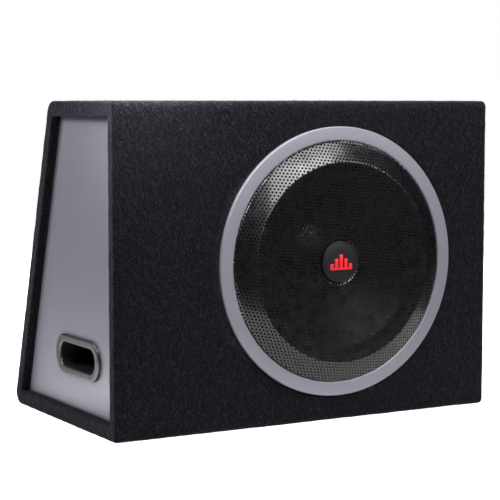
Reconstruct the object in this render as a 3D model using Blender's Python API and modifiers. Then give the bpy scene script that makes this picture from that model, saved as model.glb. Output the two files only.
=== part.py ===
"""Powered car subwoofer: a carpeted wedge-shaped box with a 12 inch driver behind a dished steel
grille, an oval reflex port in the left end and a plate amplifier in the right end.

Frame: +X to the right along the width, -Y to the front, +Z up. The origin is under the middle of
the whole object, on the surface that it stands on. Everything is in metres.
"""

import math

import bmesh
import bpy
from mathutils import Matrix

MM = 0.001
GAP = 0.3 * MM  # left between pieces that touch

# Box
WIDTH = 504 * MM
HEIGHT = 375 * MM
DEPTH_BOTTOM = 298 * MM
DEPTH_TOP = 180 * MM
CARPET = 1.5 * MM
BOARD = 15 * MM
BAFFLE = 12 * MM
RECESS = 11 * MM  # from the rim of an end to its silver panel
PANEL = 2 * MM
EDGE_FRONT_BOTTOM = 5 * MM
EDGE_FRONT_TOP = 7 * MM
EDGE_REAR_TOP = 15 * MM
EDGE_REAR_BOTTOM = 12.8 * MM

# Driver: radii from its axis, from the cut-out in the baffle outwards and then inwards
DRIVER_X = 36 * MM
CUTOUT_R = 141 * MM
FLANGE_LAP = 12.5 * MM
GASKET = 0.8 * MM
GASKET_LAP = 1.5 * MM  # from the cut-out's edge
BASKET_SHEET = 1.6 * MM
BASKET_CLEARANCE = 8 * MM
BASKET_WALL_DEPTH = 18 * MM
BASKET_TAPER = 2 * MM
BASKET_WINDOWS = 8
BASKET_WINDOW_WIDTH = 46 * MM
SURROUND_SHEET = 1.0 * MM
SURROUND_CLEARANCE = 2 * MM
SURROUND_LAND = 7.5 * MM
ROLL_HALF_WIDTH = 11 * MM
ROLL_HEIGHT = 7.5 * MM
CONE_SHEET = 1.2 * MM
CONE_LIP = 3.5 * MM
CONE_BOW = 3 * MM
CONE_DEPTH = 52 * MM  # from the carpet's front face to the neck
CAP_R = 46 * MM
CAP_RISE = 13 * MM
CAP_SHEET = 1.0 * MM
FORMER_R = 25.6 * MM
FORMER_SHEET = 0.5 * MM
NECK_CLEARANCE = 1.3 * MM
NECK_OVERLAP = 8 * MM  # of the former into the cone
COIL_THICKNESS = 0.85 * MM
COIL_LENGTH = 26 * MM
SPIDER_BEHIND_NECK = 8 * MM
SPIDER_SHEET = 0.8 * MM
SPIDER_CLEARANCE = 0.8 * MM
SPIDER_FLAT = 3 * MM
SPIDER_WAVES_R = 66 * MM
SPIDER_OUTER_R = 78 * MM
SPIDER_WAVE = 2 * MM
SPIDER_WAVES = 3
TOP_PLATE_BEHIND_SPIDER = 17 * MM
TOP_PLATE = 10 * MM
TOP_PLATE_R = 60 * MM
FORMER_BELOW_TOP_PLATE = 17 * MM
MAGNET = 28 * MM
MAGNET_R = 70 * MM
MAGNET_BORE_R = 34 * MM
YOKE_PLATE = 9 * MM
YOKE_R = 58 * MM
POLE_CLEARANCE = 0.45 * MM
POLE_VENT_R = 9 * MM
COIL_CLEARANCE = 0.8 * MM
BOOT_SHEET = 2 * MM
BOOT_LIP_R = 34 * MM

# Front trim
RING_LAP = 4.5 * MM  # over the driver's flange
RING_PROUD = 4.5 * MM
RING_SHELL = 1.2 * MM
RING_ROUND = 2 * MM
GRILLE_SHEET = 1.0 * MM
GRILLE_CLEARANCE = 1.3 * MM
GRILLE_SHOULDER = 23 * MM
GRILLE_STEP = 2.2 * MM  # upright part between its rim and its shoulder
GRILLE_SWELL = 0.15  # how much the shoulder swells out of a straight cone
GRILLE_CREST_PROUD = 15.5 * MM
GRILLE_CREST_FLAT = 2 * MM
GRILLE_CENTRE_PROUD = 4.0 * MM
GRILLE_HOLE_R = 2.6 * MM
BADGE_R = 24.7 * MM
BADGE = 2.4 * MM
BADGE_ROUND = 0.8 * MM
BADGE_STUD_R = 2.2 * MM
EMBLEM_HEIGHTS = (7 * MM, 13 * MM, 18 * MM, 13 * MM, 7 * MM)
EMBLEM_BAR = 4.4 * MM
EMBLEM_PITCH = 6.4 * MM
EMBLEM_BASE = 2.0 * MM
EMBLEM = 0.6 * MM

# Screws that hold the driver and the amplifier's plate
DRIVER_SCREWS = 8
SCREW_EDGE = 4.1 * MM
SCREW_HEAD_R = 3.2 * MM
SCREW_HEAD = 1.2 * MM
SCREW_HEAD_CLEARANCE = 0.8 * MM
SCREW_SHANK_R = 1.9 * MM
SCREW_LENGTH = 13 * MM

# Port in the left end: its middle from the front face and from the base
PORT_FROM_FRONT = 120 * MM
PORT_Z = 79 * MM
PORT_LENGTH = 98.5 * MM
PORT_HEIGHT = 28.7 * MM
PORT_WALL = 2.2 * MM
PORT_DEPTH = 150 * MM
BEZEL_BAND_ENDS = 11.75 * MM
BEZEL_BAND_SIDES = 8.95 * MM
BEZEL_PROUD = 3.5 * MM

# Amplifier in the right end: the plate's corner from the front face and from the base
PLATE_FROM_FRONT = 32 * MM
PLATE_FROM_BASE = 52 * MM
PLATE_WIDTH = 136 * MM
PLATE_HEIGHT = 240 * MM
PLATE = 2 * MM
PLATE_ROUND = 6 * MM
PLATE_SCREW_INSET = 7 * MM
CHASSIS_INSET = 13 * MM
CHASSIS_DEPTH = 46 * MM
CHASSIS_SHEET = 1.2 * MM
BOARD_BEHIND_PLATE = 14 * MM
CIRCUIT_BOARD = 1.6 * MM
# Its controls: from the plate's front edge, and from its top edge
KNOBS = {"level_knob": 30 * MM, "crossover_knob": 68 * MM, "bass_boost_knob": 106 * MM}
KNOBS_FROM_TOP = 28 * MM
KNOB_R = 8.5 * MM
KNOB_HEIGHT = 7.5 * MM
KNOB_FOOT = 1.0 * MM
KNOB_MARK_WIDTH = 1.2 * MM
KNOB_MARK_LENGTH = 5 * MM
KNOB_MARK_DEPTH = 0.7 * MM
KNOB_SHAFT_R = 3 * MM
SHAFT_BEHIND_PLATE = 5 * MM
POT_R = 8 * MM
POT_HEIGHT = 7 * MM
POT_OVERLAP = 2 * MM
SWITCH_ACROSS = 34 * MM
SWITCH_FROM_TOP = 64 * MM
SWITCH_TRAVEL = 4 * MM
SWITCH_BUTTON = 4 * MM
SWITCH_SHOULDER = 2 * MM
SWITCH_BASE = 1.5 * MM
SWITCH_PROUD = 2.6 * MM
LED_ACROSS = 102 * MM
LED_R = 2.5 * MM
LED_PROUD = 1.2 * MM
LED_BEHIND = 6 * MM
LINES_ACROSS = (28 * MM, 46 * MM)
LINE_FROM_TOP = 96 * MM
LINE_BARREL_R = 4.2 * MM
LINE_BORE_R = 1.7 * MM
LINE_PROUD = 8 * MM
LINE_BODY = 8 * MM
LINE_MARGIN = 6 * MM
SOCKET_ACROSS = 96 * MM
SOCKET_WIDTH = 24 * MM
SOCKET_HEIGHT = 12 * MM
SOCKET_WALL = 1.6 * MM
SOCKET_FLOOR = 2 * MM
SOCKET_PROUD = 6 * MM
SOCKET_BEHIND = 9 * MM
FIN = 1.8 * MM
FIN_PITCH = 7 * MM
FIN_HEIGHT = 5 * MM
FIN_BASE = 1.6 * MM
FIN_MARGIN = 12 * MM
FINS_BELOW_SOCKETS = 20 * MM
# and from its bottom edge
FINS_UP = 70 * MM
TERMINALS_ACROSS = 40 * MM
TERMINALS_UP = 34 * MM
TERMINALS = 3
TERMINAL_PITCH = 15 * MM
TERMINAL_HEIGHT = 24 * MM
TERMINAL_PROUD = 8 * MM
TERMINAL_ENTRY = 9 * MM
TERMINAL_ENTRY_DEPTH = 14 * MM
FUSE_ACROSS = 102 * MM
FUSE_UP = 34 * MM
FUSE_LENGTH = 19 * MM
FUSE_THICKNESS = 5 * MM
FUSE_PROUD = 6.5 * MM
HOLDER_WALL = 2.5 * MM
HOLDER_PROUD = 3.5 * MM
CHOKE_R = 20 * MM
CHOKE_WIRE_R = 8 * MM
CHOKE_UP = 118 * MM

# Wire from the amplifier to the driver
WIRE_R = 2.2 * MM
WIRE_OUTLET_R = 4 * MM
WIRE_UP = 43 * MM
TERMINAL_BLOCK = 16 * MM
TERMINAL_BLOCK_HEIGHT = 12 * MM
TERMINAL_BLOCK_OUT = 12 * MM

# What the sizes above give
SLANT = math.atan2(DEPTH_BOTTOM - DEPTH_TOP, HEIGHT)
REAR_CORNER = math.pi / 2 - SLANT
SHARPEST = (BOARD - GAP) / math.cos(SLANT) * math.tan(REAR_CORNER / 2) + CARPET + GAP
EDGE_REAR_BOTTOM = min(EDGE_REAR_BOTTOM, SHARPEST)  # the bottom board ends in this edge
ROUNDED_AWAY = EDGE_REAR_BOTTOM * (1 / math.tan(REAR_CORNER / 2) - 1)
PROUD = GRILLE_CREST_PROUD + GRILLE_SHEET / 2
FRONT_Y = -(DEPTH_BOTTOM - ROUNDED_AWAY - PROUD) / 2
RIM = CARPET + BOARD + CARPET
FRONT_RIM = CARPET + BAFFLE + CARPET
PANEL_X = WIDTH / 2 - RECESS  # outer face of a silver panel
PLATE_X = PANEL_X + GAP
PLATE_FACE_X = PLATE_X + PLATE
PLATE_TOP = PLATE_FROM_BASE + PLATE_HEIGHT
FINS_ROOM = PLATE_HEIGHT - FINS_UP - LINE_FROM_TOP - LINE_MARGIN - FINS_BELOW_SOCKETS
FINS = 1 + max(0, int((FINS_ROOM - FIN) / FIN_PITCH))

DRIVER_Z = HEIGHT / 2
FLANGE_R = CUTOUT_R + FLANGE_LAP
SCREW_CIRCLE_R = FLANGE_R - SCREW_EDGE
BASKET_WALL_R = CUTOUT_R - BASKET_CLEARANCE
SURROUND_OUTER_R = CUTOUT_R - SURROUND_CLEARANCE
ROLL_R = SURROUND_OUTER_R - SURROUND_LAND - ROLL_HALF_WIDTH
CONE_LIP_R = ROLL_R - ROLL_HALF_WIDTH - GAP
CONE_RIM_R = CONE_LIP_R - CONE_LIP
CONE_NECK_R = FORMER_R + NECK_CLEARANCE
SPIDER_INNER_R = FORMER_R + SPIDER_CLEARANCE
POLE_R = FORMER_R - FORMER_SHEET / 2 - POLE_CLEARANCE
COIL_R = FORMER_R + FORMER_SHEET / 2 + GAP
AIR_GAP_R = COIL_R + COIL_THICKNESS + COIL_CLEARANCE
RING_R = FLANGE_R + RING_LAP
RING_BORE_R = CUTOUT_R + GAP
GRILLE_RIM_R = SCREW_CIRCLE_R - SCREW_HEAD_R - SCREW_HEAD_CLEARANCE
GRILLE_BASE_R = RING_BORE_R - GRILLE_CLEARANCE
GRILLE_CREST_R = GRILLE_BASE_R - GRILLE_SHOULDER

# Depths behind the carpet's front face
FLANGE_BACK = CARPET - GAP - GASKET - GAP
FLANGE_FRONT = FLANGE_BACK - BASKET_SHEET
SURROUND_DEPTH = FLANGE_FRONT - GAP - SURROUND_SHEET / 2
CONE_TOP = SURROUND_DEPTH + SURROUND_SHEET / 2 + GAP + CONE_SHEET / 2
SPIDER_DEPTH = CONE_DEPTH + SPIDER_BEHIND_NECK
SPIDER_SEAT = SPIDER_DEPTH + SPIDER_SHEET / 2 + GAP + BASKET_SHEET / 2
TOP_PLATE_DEPTH = SPIDER_DEPTH + TOP_PLATE_BEHIND_SPIDER
BASKET_FOOT = TOP_PLATE_DEPTH - GAP - BASKET_SHEET / 2
MAGNET_DEPTH = TOP_PLATE_DEPTH + TOP_PLATE + GAP
YOKE_DEPTH = MAGNET_DEPTH + MAGNET + GAP
BOOT_FLOOR = YOKE_DEPTH + YOKE_PLATE + GAP + BOOT_SHEET / 2
FORMER_START = CONE_DEPTH - NECK_OVERLAP
FORMER_END = TOP_PLATE_DEPTH + TOP_PLATE + FORMER_BELOW_TOP_PLATE

# Each piece of the driver faces away from the box's front: local +Z runs into the box.
DRIVER_FRAME = Matrix.Translation((DRIVER_X, FRONT_Y, DRIVER_Z)) @ Matrix.Rotation(-math.pi / 2, 4, "X")
# An outline across the ends: local X is the object's Y, local Y its Z, and local Z its X.
SIDE_FRAME = Matrix(((0, 0, 1, 0), (1, 0, 0, 0), (0, 1, 0, 0), (0, 0, 0, 1)))

ROUND_STEPS = 48
SMALL_STEPS = 20
ARC_STEPS = 6


# ---------------------------------------------------------------- scene and materials
def clear_scene():
    for obj in list(bpy.data.objects):
        bpy.data.objects.remove(obj, do_unlink=True)


def make_collection(name):
    found = bpy.data.collections.new(name)
    bpy.context.scene.collection.children.link(found)
    return found


def make_material(name, colour, roughness, metallic=0.0):
    made = bpy.data.materials.new(name)
    made.use_nodes = True
    made.diffuse_color = (*colour, 1)
    shader = made.node_tree.nodes["Principled BSDF"]
    shader.inputs["Base Color"].default_value = (*colour, 1)
    shader.inputs["Roughness"].default_value = roughness
    shader.inputs["Metallic"].default_value = metallic
    return made


clear_scene()
PARTS = make_collection("powered_car_subwoofer")
CUTTERS = make_collection("cutters")

CARPET_BLACK = make_material("charcoal_carpet", (0.022, 0.022, 0.027), 0.95)
FIBREBOARD = make_material("fibreboard", (0.42, 0.28, 0.16), 0.8)
SILVER = make_material("silver_paint", (0.36, 0.36, 0.40), 0.45, 0.3)
BLACK_STEEL = make_material("black_steel", (0.02, 0.02, 0.022), 0.35, 0.4)
BLACK_PLASTIC = make_material("black_plastic", (0.025, 0.025, 0.028), 0.5)
CONE_BLACK = make_material("cone_polypropylene", (0.015, 0.015, 0.017), 0.3)
RUBBER = make_material("surround_rubber", (0.02, 0.02, 0.02), 0.6)
FOAM = make_material("foam_gasket", (0.05, 0.05, 0.05), 0.9)
SPIDER_CLOTH = make_material("spider_cloth", (0.55, 0.40, 0.16), 0.85)
FORMER_CLOTH = make_material("former_paper", (0.50, 0.36, 0.22), 0.6)
COPPER = make_material("copper_wire", (0.75, 0.33, 0.15), 0.3, 0.9)
ZINC_STEEL = make_material("zinc_steel", (0.62, 0.62, 0.64), 0.35, 0.9)
FERRITE = make_material("ferrite", (0.05, 0.05, 0.055), 0.6)
BADGE_BLACK = make_material("badge_plastic", (0.024, 0.023, 0.028), 0.4)
RED = make_material("red_inlay", (0.93, 0.02, 0.035), 0.4)
BEZEL_METAL = make_material("bezel_satin", (0.28, 0.28, 0.29), 0.3, 0.6)
POWDER_COAT = make_material("amplifier_powder_coat", (0.03, 0.03, 0.033), 0.55, 0.2)
BOARD_GREEN = make_material("circuit_board", (0.03, 0.16, 0.07), 0.5)
CONNECTOR_WHITE = make_material("connector_white", (0.75, 0.73, 0.68), 0.5)
FUSE_AMBER = make_material("fuse_amber", (0.85, 0.35, 0.03), 0.3)
LED_RED = make_material("led_lens", (0.6, 0.03, 0.03), 0.2)
WIRE_RED = make_material("wire_insulation", (0.5, 0.03, 0.03), 0.5)


# ---------------------------------------------------------------- building blocks
def add_object(name, mesh, look, placed=None):
    obj = bpy.data.objects.new(name, mesh)
    if look is not None:
        mesh.materials.clear()
        mesh.materials.append(look)
    if placed is not None:
        obj.matrix_world = placed
    PARTS.objects.link(obj)
    return obj


def make_cutter(obj):
    """Moves a helper out of the model, so that it shapes its neighbours and isn't a piece."""
    PARTS.objects.unlink(obj)
    CUTTERS.objects.link(obj)
    obj.hide_render = True
    obj.display_type = "WIRE"
    return obj


def boolean(obj, other, operation="DIFFERENCE"):
    modifier = obj.modifiers.new(operation.lower(), "BOOLEAN")
    modifier.operation = operation
    modifier.object = other
    modifier.solver = "EXACT"


def smooth(mesh, angle=35):
    mesh.shade_smooth()
    mesh.set_sharp_from_angle(angle=math.radians(angle))


def turned(name, profile, look, placed, steps=ROUND_STEPS):
    """A closed outline of (radius, depth) points turned about local Z."""
    loop = list(profile)
    area = sum(a[0] * b[1] - b[0] * a[1] for a, b in zip(loop, loop[1:] + loop[:1]))
    if area > 0:
        loop.reverse()
    mesh = bpy.data.meshes.new(name)
    ends = [(i, (i + 1) % len(loop)) for i in range(len(loop))]
    mesh.from_pydata([(r, 0, z) for r, z in loop], ends, [])
    obj = add_object(name, mesh, look, placed)
    screw(obj, steps)
    return obj


def screw(obj, steps):
    modifier = obj.modifiers.new("turn", "SCREW")
    modifier.axis = "Z"
    modifier.steps = modifier.render_steps = steps
    modifier.use_merge_vertices = True
    modifier.merge_threshold = 0.00001
    modifier.use_smooth_shade = True


def turned_shell(name, line, sheet, look, placed, steps=ROUND_STEPS):
    """A sheet of even thickness turned about local Z. The line of (radius, depth) points is its middle."""
    mesh = bpy.data.meshes.new(name)
    mesh.from_pydata([(r, 0, z) for r, z in line], [(i, i + 1) for i in range(len(line) - 1)], [])
    obj = add_object(name, mesh, look, placed)
    screw(obj, steps)
    solidify = obj.modifiers.new("sheet", "SOLIDIFY")
    solidify.thickness = sheet
    solidify.offset = 0
    solidify.use_even_offset = True
    return obj


def flat_outline(name, outlines, thickness):
    """A plate in the local XY plane. The first outline is its edge and the others are holes."""
    curve = bpy.data.curves.new(name, "CURVE")
    curve.dimensions = "2D"
    curve.fill_mode = "BOTH"
    curve.extrude = thickness / 2
    for outline in outlines:
        spline = curve.splines.new("POLY")
        spline.points.add(len(outline) - 1)
        for point, (u, v) in zip(spline.points, outline):
            point.co = (u, v, 0, 1)
        spline.use_cyclic_u = True
    drawn = bpy.data.objects.new(name, curve)
    bpy.context.scene.collection.objects.link(drawn)
    graph = bpy.context.evaluated_depsgraph_get()
    mesh = bpy.data.meshes.new_from_object(drawn.evaluated_get(graph))
    bpy.data.objects.remove(drawn)
    work = bmesh.new()
    work.from_mesh(mesh)
    bmesh.ops.remove_doubles(work, verts=work.verts, dist=0.000001)
    bmesh.ops.recalc_face_normals(work, faces=work.faces)
    work.to_mesh(mesh)
    work.free()
    mesh.name = name
    return mesh


def across(name, outlines, low_x, high_x, look):
    """A prism whose outline is given in (y, z) and which runs from low_x to high_x."""
    middle = Matrix.Translation(((low_x + high_x) / 2, 0, 0)) @ SIDE_FRAME
    return add_object(name, flat_outline(name, outlines, high_x - low_x), look, middle)


def block(name, low, high, look):
    """A box between two corners. Its origin is its middle."""
    size = [b - a for a, b in zip(low, high)]
    work = bmesh.new()
    bmesh.ops.create_cube(work, size=1, matrix=Matrix.Diagonal((*size, 1)))
    mesh = bpy.data.meshes.new(name)
    work.to_mesh(mesh)
    work.free()
    return add_object(name, mesh, look, Matrix.Translation([(a + b) / 2 for a, b in zip(low, high)]))


def rods(name, places, radius, low, high, placed, steps=SMALL_STEPS):
    """Parallel cylinders along local Z from low to high, as one helper."""
    work = bmesh.new()
    for u, v in places:
        bmesh.ops.create_cone(
            work, cap_ends=True, segments=steps, radius1=radius, radius2=radius, depth=high - low,
            matrix=Matrix.Translation((u, v, (low + high) / 2)))
    mesh = bpy.data.meshes.new(name)
    work.to_mesh(mesh)
    work.free()
    return add_object(name, mesh, None, placed)


def on_circle(radius, count, start):
    step = 2 * math.pi / count
    return [(radius * math.cos(start + i * step), radius * math.sin(start + i * step)) for i in range(count)]


def rounded(corners, radii, steps=ARC_STEPS):
    """The outline with each corner replaced by an arc of its radius."""
    made = []
    for i, (x, y) in enumerate(corners):
        radius = radii[i]
        (ax, ay), (bx, by) = corners[i - 1], corners[(i + 1) % len(corners)]
        a, b = math.atan2(ay - y, ax - x), math.atan2(by - y, bx - x)
        turn = (b - a + math.pi) % (2 * math.pi) - math.pi
        if radius <= 0:
            made.append((x, y))
            continue
        reach = radius / math.sin(abs(turn) / 2)
        cx, cy = x + reach * math.cos(a + turn / 2), y + reach * math.sin(a + turn / 2)
        sweep = -math.copysign(math.pi - abs(turn), turn)
        start = a + math.copysign(math.pi / 2, turn) + math.pi
        for k in range(steps + 1):
            angle = start + sweep * k / steps
            made.append((cx + radius * math.cos(angle), cy + radius * math.sin(angle)))
    return made


def rectangle(low_u, low_v, high_u, high_v, radius=0.0):
    corners = [(low_u, low_v), (high_u, low_v), (high_u, high_v), (low_u, high_v)]
    return rounded(corners, [radius] * 4)


def stadium(middle_u, middle_v, length, height, steps=8):
    return rounded(
        [(middle_u - length / 2, middle_v - height / 2), (middle_u + length / 2, middle_v - height / 2),
         (middle_u + length / 2, middle_v + height / 2), (middle_u - length / 2, middle_v + height / 2)],
        [height / 2 * 0.999] * 4, steps // 2)


# ---------------------------------------------------------------- the wedge
def rear_y(z, inset):
    """Where the slanted back, moved inwards by inset, stands at height z."""
    return FRONT_Y + DEPTH_BOTTOM - z * math.tan(SLANT) - inset / math.cos(SLANT)


def wedge(front, around, radii=(0, 0, 0, 0)):
    """The end view of the box, moved inwards by front at the baffle and by around on the other sides.
    Corners run front bottom, rear bottom, rear top, front top."""
    low, high = around, HEIGHT - around
    corners = [(FRONT_Y + front, low), (rear_y(low, around), low),
               (rear_y(high, around), high), (FRONT_Y + front, high)]
    return rounded(corners, radii)


def edge_radii(inset):
    edges = (EDGE_FRONT_BOTTOM, EDGE_REAR_BOTTOM, EDGE_REAR_TOP, EDGE_FRONT_TOP)
    return [edge - inset for edge in edges]


def build_carpet():
    """The covering goes round the four long sides and folds over both rims, down to the silver panels.
    The sheet under the base is a piece of its own, let into the wrap."""
    half = WIDTH / 2
    wrap = across("carpet_wrap", [wedge(0, 0, edge_radii(0))], -half, half, CARPET_BLACK)
    mouth = across("rim_opening", [wedge(FRONT_RIM, RIM)], -half - RIM, half + RIM, None)
    inside = half - CARPET
    hollow = across("board_space", [wedge(CARPET, CARPET, edge_radii(CARPET))], -inside, inside, None)
    fold = CARPET  # thickness of the fold that lines the rim
    for side, low, high in (("left", -half - RIM, -PANEL_X - GAP), ("right", PANEL_X + GAP, half + RIM)):
        lining = across(f"{side}_fold", [wedge(FRONT_RIM - fold, RIM - fold)], low, high, None)
        boolean(hollow, make_cutter(lining))
    driver_hole = rods("carpet_driver_hole", [(0, 0)], FLANGE_R + GAP, -RIM, RIM, DRIVER_FRAME, ROUND_STEPS)
    low = (-half + RIM, FRONT_Y + RIM, 0)
    high = (half - RIM, FRONT_Y + DEPTH_BOTTOM - RIM - EDGE_REAR_BOTTOM, CARPET)
    block("carpet_base", low, high, CARPET_BLACK)
    reach = [GAP, GAP, RIM / 2]
    around = [a - b for a, b in zip(low, reach)], [a + b for a, b in zip(high, reach)]
    let_in = block("base_opening", *around, None)
    for cutter in (mouth, hollow, driver_hole, let_in):
        boolean(wrap, make_cutter(cutter))


def build_boards():
    """Six boards. The baffle is full height, and the others butt against it."""
    half = WIDTH / 2 - CARPET - GAP
    skin = CARPET + GAP
    back_of_baffle = FRONT_Y + CARPET + BAFFLE
    edges = edge_radii(skin)
    baffle = across(
        "front_baffle",
        [rounded([(FRONT_Y + skin, skin), (back_of_baffle, skin), (back_of_baffle, HEIGHT - skin),
                  (FRONT_Y + skin, HEIGHT - skin)], [edges[0], 0, 0, edges[3]])],
        -half, half, FIBREBOARD)
    cutout = rods("driver_cutout", [(0, 0)], CUTOUT_R, -RIM, RIM * 2, DRIVER_FRAME, ROUND_STEPS)
    boolean(baffle, make_cutter(cutout))
    start = back_of_baffle + GAP
    inside = CARPET + BOARD
    across(
        "bottom_board",
        [rounded([(start, skin), (rear_y(skin, skin), skin), (rear_y(inside, skin), inside), (start, inside)],
                 [0, edges[1], 0, 0])],
        -half, half, FIBREBOARD)
    top_low, top_high = HEIGHT - inside, HEIGHT - skin
    across(
        "top_board",
        [rounded([(start, top_low), (rear_y(top_low, skin), top_low), (rear_y(top_high, skin), top_high),
                  (start, top_high)], [0, 0, edges[2], 0])],
        -half, half, FIBREBOARD)
    low, high = inside + GAP, HEIGHT - inside - GAP
    across(
        "back_board",
        [[(rear_y(low, inside), low), (rear_y(low, skin), low), (rear_y(high, skin), high),
          (rear_y(high, inside), high)]],
        -half, half, FIBREBOARD)
    end_outline = wedge(CARPET + BAFFLE + GAP, inside + GAP)
    outer, inner = PANEL_X - PANEL - GAP, PANEL_X - PANEL - GAP - BOARD
    port_hole = stadium(FRONT_Y + PORT_FROM_FRONT, PORT_Z, PORT_LENGTH + 2 * (PORT_WALL + GAP),
                        PORT_HEIGHT + 2 * (PORT_WALL + GAP))
    amplifier_hole = rectangle(*chassis_corners(GAP * 2))
    across("left_end_board", [end_outline, port_hole], -outer, -inner, FIBREBOARD)
    across("right_end_board", [end_outline, amplifier_hole], inner, outer, FIBREBOARD)
    across("left_side_panel", [end_outline, port_hole], -PANEL_X, -PANEL_X + PANEL, SILVER)
    across("right_side_panel", [end_outline, amplifier_hole], PANEL_X - PANEL, PANEL_X, SILVER)
    return baffle


def build_port():
    middle = (FRONT_Y + PORT_FROM_FRONT, PORT_Z)
    bore = stadium(*middle, PORT_LENGTH, PORT_HEIGHT)
    wall = stadium(*middle, PORT_LENGTH + 2 * PORT_WALL, PORT_HEIGHT + 2 * PORT_WALL)
    across("port_tube", [wall, bore], -PANEL_X, -PANEL_X + PORT_DEPTH, BLACK_PLASTIC)
    rim = stadium(*middle, PORT_LENGTH + 2 * BEZEL_BAND_ENDS, PORT_HEIGHT + 2 * BEZEL_BAND_SIDES)
    bezel = across("port_bezel", [rim, bore], -PANEL_X - GAP - BEZEL_PROUD, -PANEL_X - GAP, BEZEL_METAL)
    bevel = bezel.modifiers.new("rounding", "BEVEL")
    bevel.width = BEZEL_PROUD * 0.4
    bevel.segments = 2
    bevel.limit_method = "ANGLE"
    bevel.angle_limit = math.radians(60)


# ---------------------------------------------------------------- the driver
def cone_depth(radius):
    """Depth of the cone's middle at a radius: a straight flare with a slight bow."""
    share = (CONE_RIM_R - radius) / (CONE_RIM_R - CONE_NECK_R)
    bow = CONE_BOW * math.sin(math.pi * share)
    return CONE_TOP + (CONE_DEPTH - CONE_TOP) * share + bow



def build_basket():
    middle = (FLANGE_BACK + FLANGE_FRONT) / 2
    shoulder_r = SPIDER_OUTER_R + 5 * MM
    line = [(FLANGE_R, middle), (BASKET_WALL_R + BASKET_TAPER, middle),
            (BASKET_WALL_R, middle + BASKET_TAPER), (BASKET_WALL_R - BASKET_TAPER, BASKET_WALL_DEPTH),
            (shoulder_r + BASKET_TAPER, SPIDER_SEAT - 2 * BASKET_TAPER), (shoulder_r, SPIDER_SEAT),
            (SPIDER_WAVES_R + MM, SPIDER_SEAT), (SPIDER_WAVES_R - MM, BASKET_FOOT),
            (AIR_GAP_R + 3 * MM, BASKET_FOOT)]
    basket = turned_shell("basket", line, BASKET_SHEET, BLACK_STEEL, DRIVER_FRAME)
    work = bmesh.new()
    inner, outer = shoulder_r + 6 * MM, BASKET_WALL_R + 6 * MM
    for i in range(BASKET_WINDOWS):
        turn = Matrix.Rotation(2 * math.pi * i / BASKET_WINDOWS, 4, "Z")
        move = Matrix.Translation(((inner + outer) / 2, 0, (BASKET_WALL_DEPTH + SPIDER_SEAT) / 2 - 2 * MM))
        tall = SPIDER_SEAT - BASKET_WALL_DEPTH - 12 * MM
        size = Matrix.Diagonal((outer - inner, BASKET_WINDOW_WIDTH, tall, 1))
        bmesh.ops.create_cube(work, size=1, matrix=turn @ move @ size)
    mesh = bpy.data.meshes.new("basket_windows")
    work.to_mesh(mesh)
    work.free()
    boolean(basket, make_cutter(add_object("basket_windows", mesh, None, DRIVER_FRAME)))
    return basket


def build_suspension():
    steps = 10
    roll = [(ROLL_R + ROLL_HALF_WIDTH * math.cos(math.pi * i / steps),
             SURROUND_DEPTH - ROLL_HEIGHT * math.sin(math.pi * i / steps)) for i in range(steps + 1)]
    line = [(SURROUND_OUTER_R, SURROUND_DEPTH), *roll, (CONE_RIM_R, SURROUND_DEPTH)]
    turned_shell("surround", line, SURROUND_SHEET, RUBBER, DRIVER_FRAME)
    samples = 4 * SPIDER_WAVES
    start = SPIDER_INNER_R + SPIDER_FLAT
    waves = [(start + (SPIDER_WAVES_R - start) * i / samples,
              SPIDER_DEPTH - SPIDER_WAVE * math.sin(2 * math.pi * SPIDER_WAVES * i / samples))
             for i in range(samples + 1)]
    line = [(SPIDER_INNER_R, SPIDER_DEPTH), *waves, (SPIDER_OUTER_R, SPIDER_DEPTH)]
    turned_shell("spider", line, SPIDER_SHEET, SPIDER_CLOTH, DRIVER_FRAME, 36)


def build_cone():
    samples = 6
    flare = [CONE_RIM_R + (CONE_NECK_R - CONE_RIM_R) * i / samples for i in range(samples + 1)]
    line = [(CONE_LIP_R, CONE_TOP), *((r, cone_depth(r)) for r in flare)]
    turned_shell("cone", line, CONE_SHEET, CONE_BLACK, DRIVER_FRAME)
    edge = cone_depth(CAP_R) - CONE_SHEET - CAP_SHEET - GAP
    dome = [(CAP_R * math.sin(math.pi / 2 * i / 6), edge - CAP_RISE * math.cos(math.pi / 2 * i / 6))
            for i in range(7)]
    turned_shell("dust_cap", dome, CAP_SHEET, CONE_BLACK, DRIVER_FRAME, 32)
    turned("voice_coil_former",
           [(FORMER_R - FORMER_SHEET / 2, FORMER_START), (FORMER_R + FORMER_SHEET / 2, FORMER_START),
            (FORMER_R + FORMER_SHEET / 2, FORMER_END), (FORMER_R - FORMER_SHEET / 2, FORMER_END)],
           FORMER_CLOTH, DRIVER_FRAME, 32)
    inner = COIL_R
    middle = TOP_PLATE_DEPTH + TOP_PLATE / 2
    turned("voice_coil",
           [(inner, middle - COIL_LENGTH / 2), (inner + COIL_THICKNESS, middle - COIL_LENGTH / 2),
            (inner + COIL_THICKNESS, middle + COIL_LENGTH / 2), (inner, middle + COIL_LENGTH / 2)],
           COPPER, DRIVER_FRAME, 32)


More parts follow.
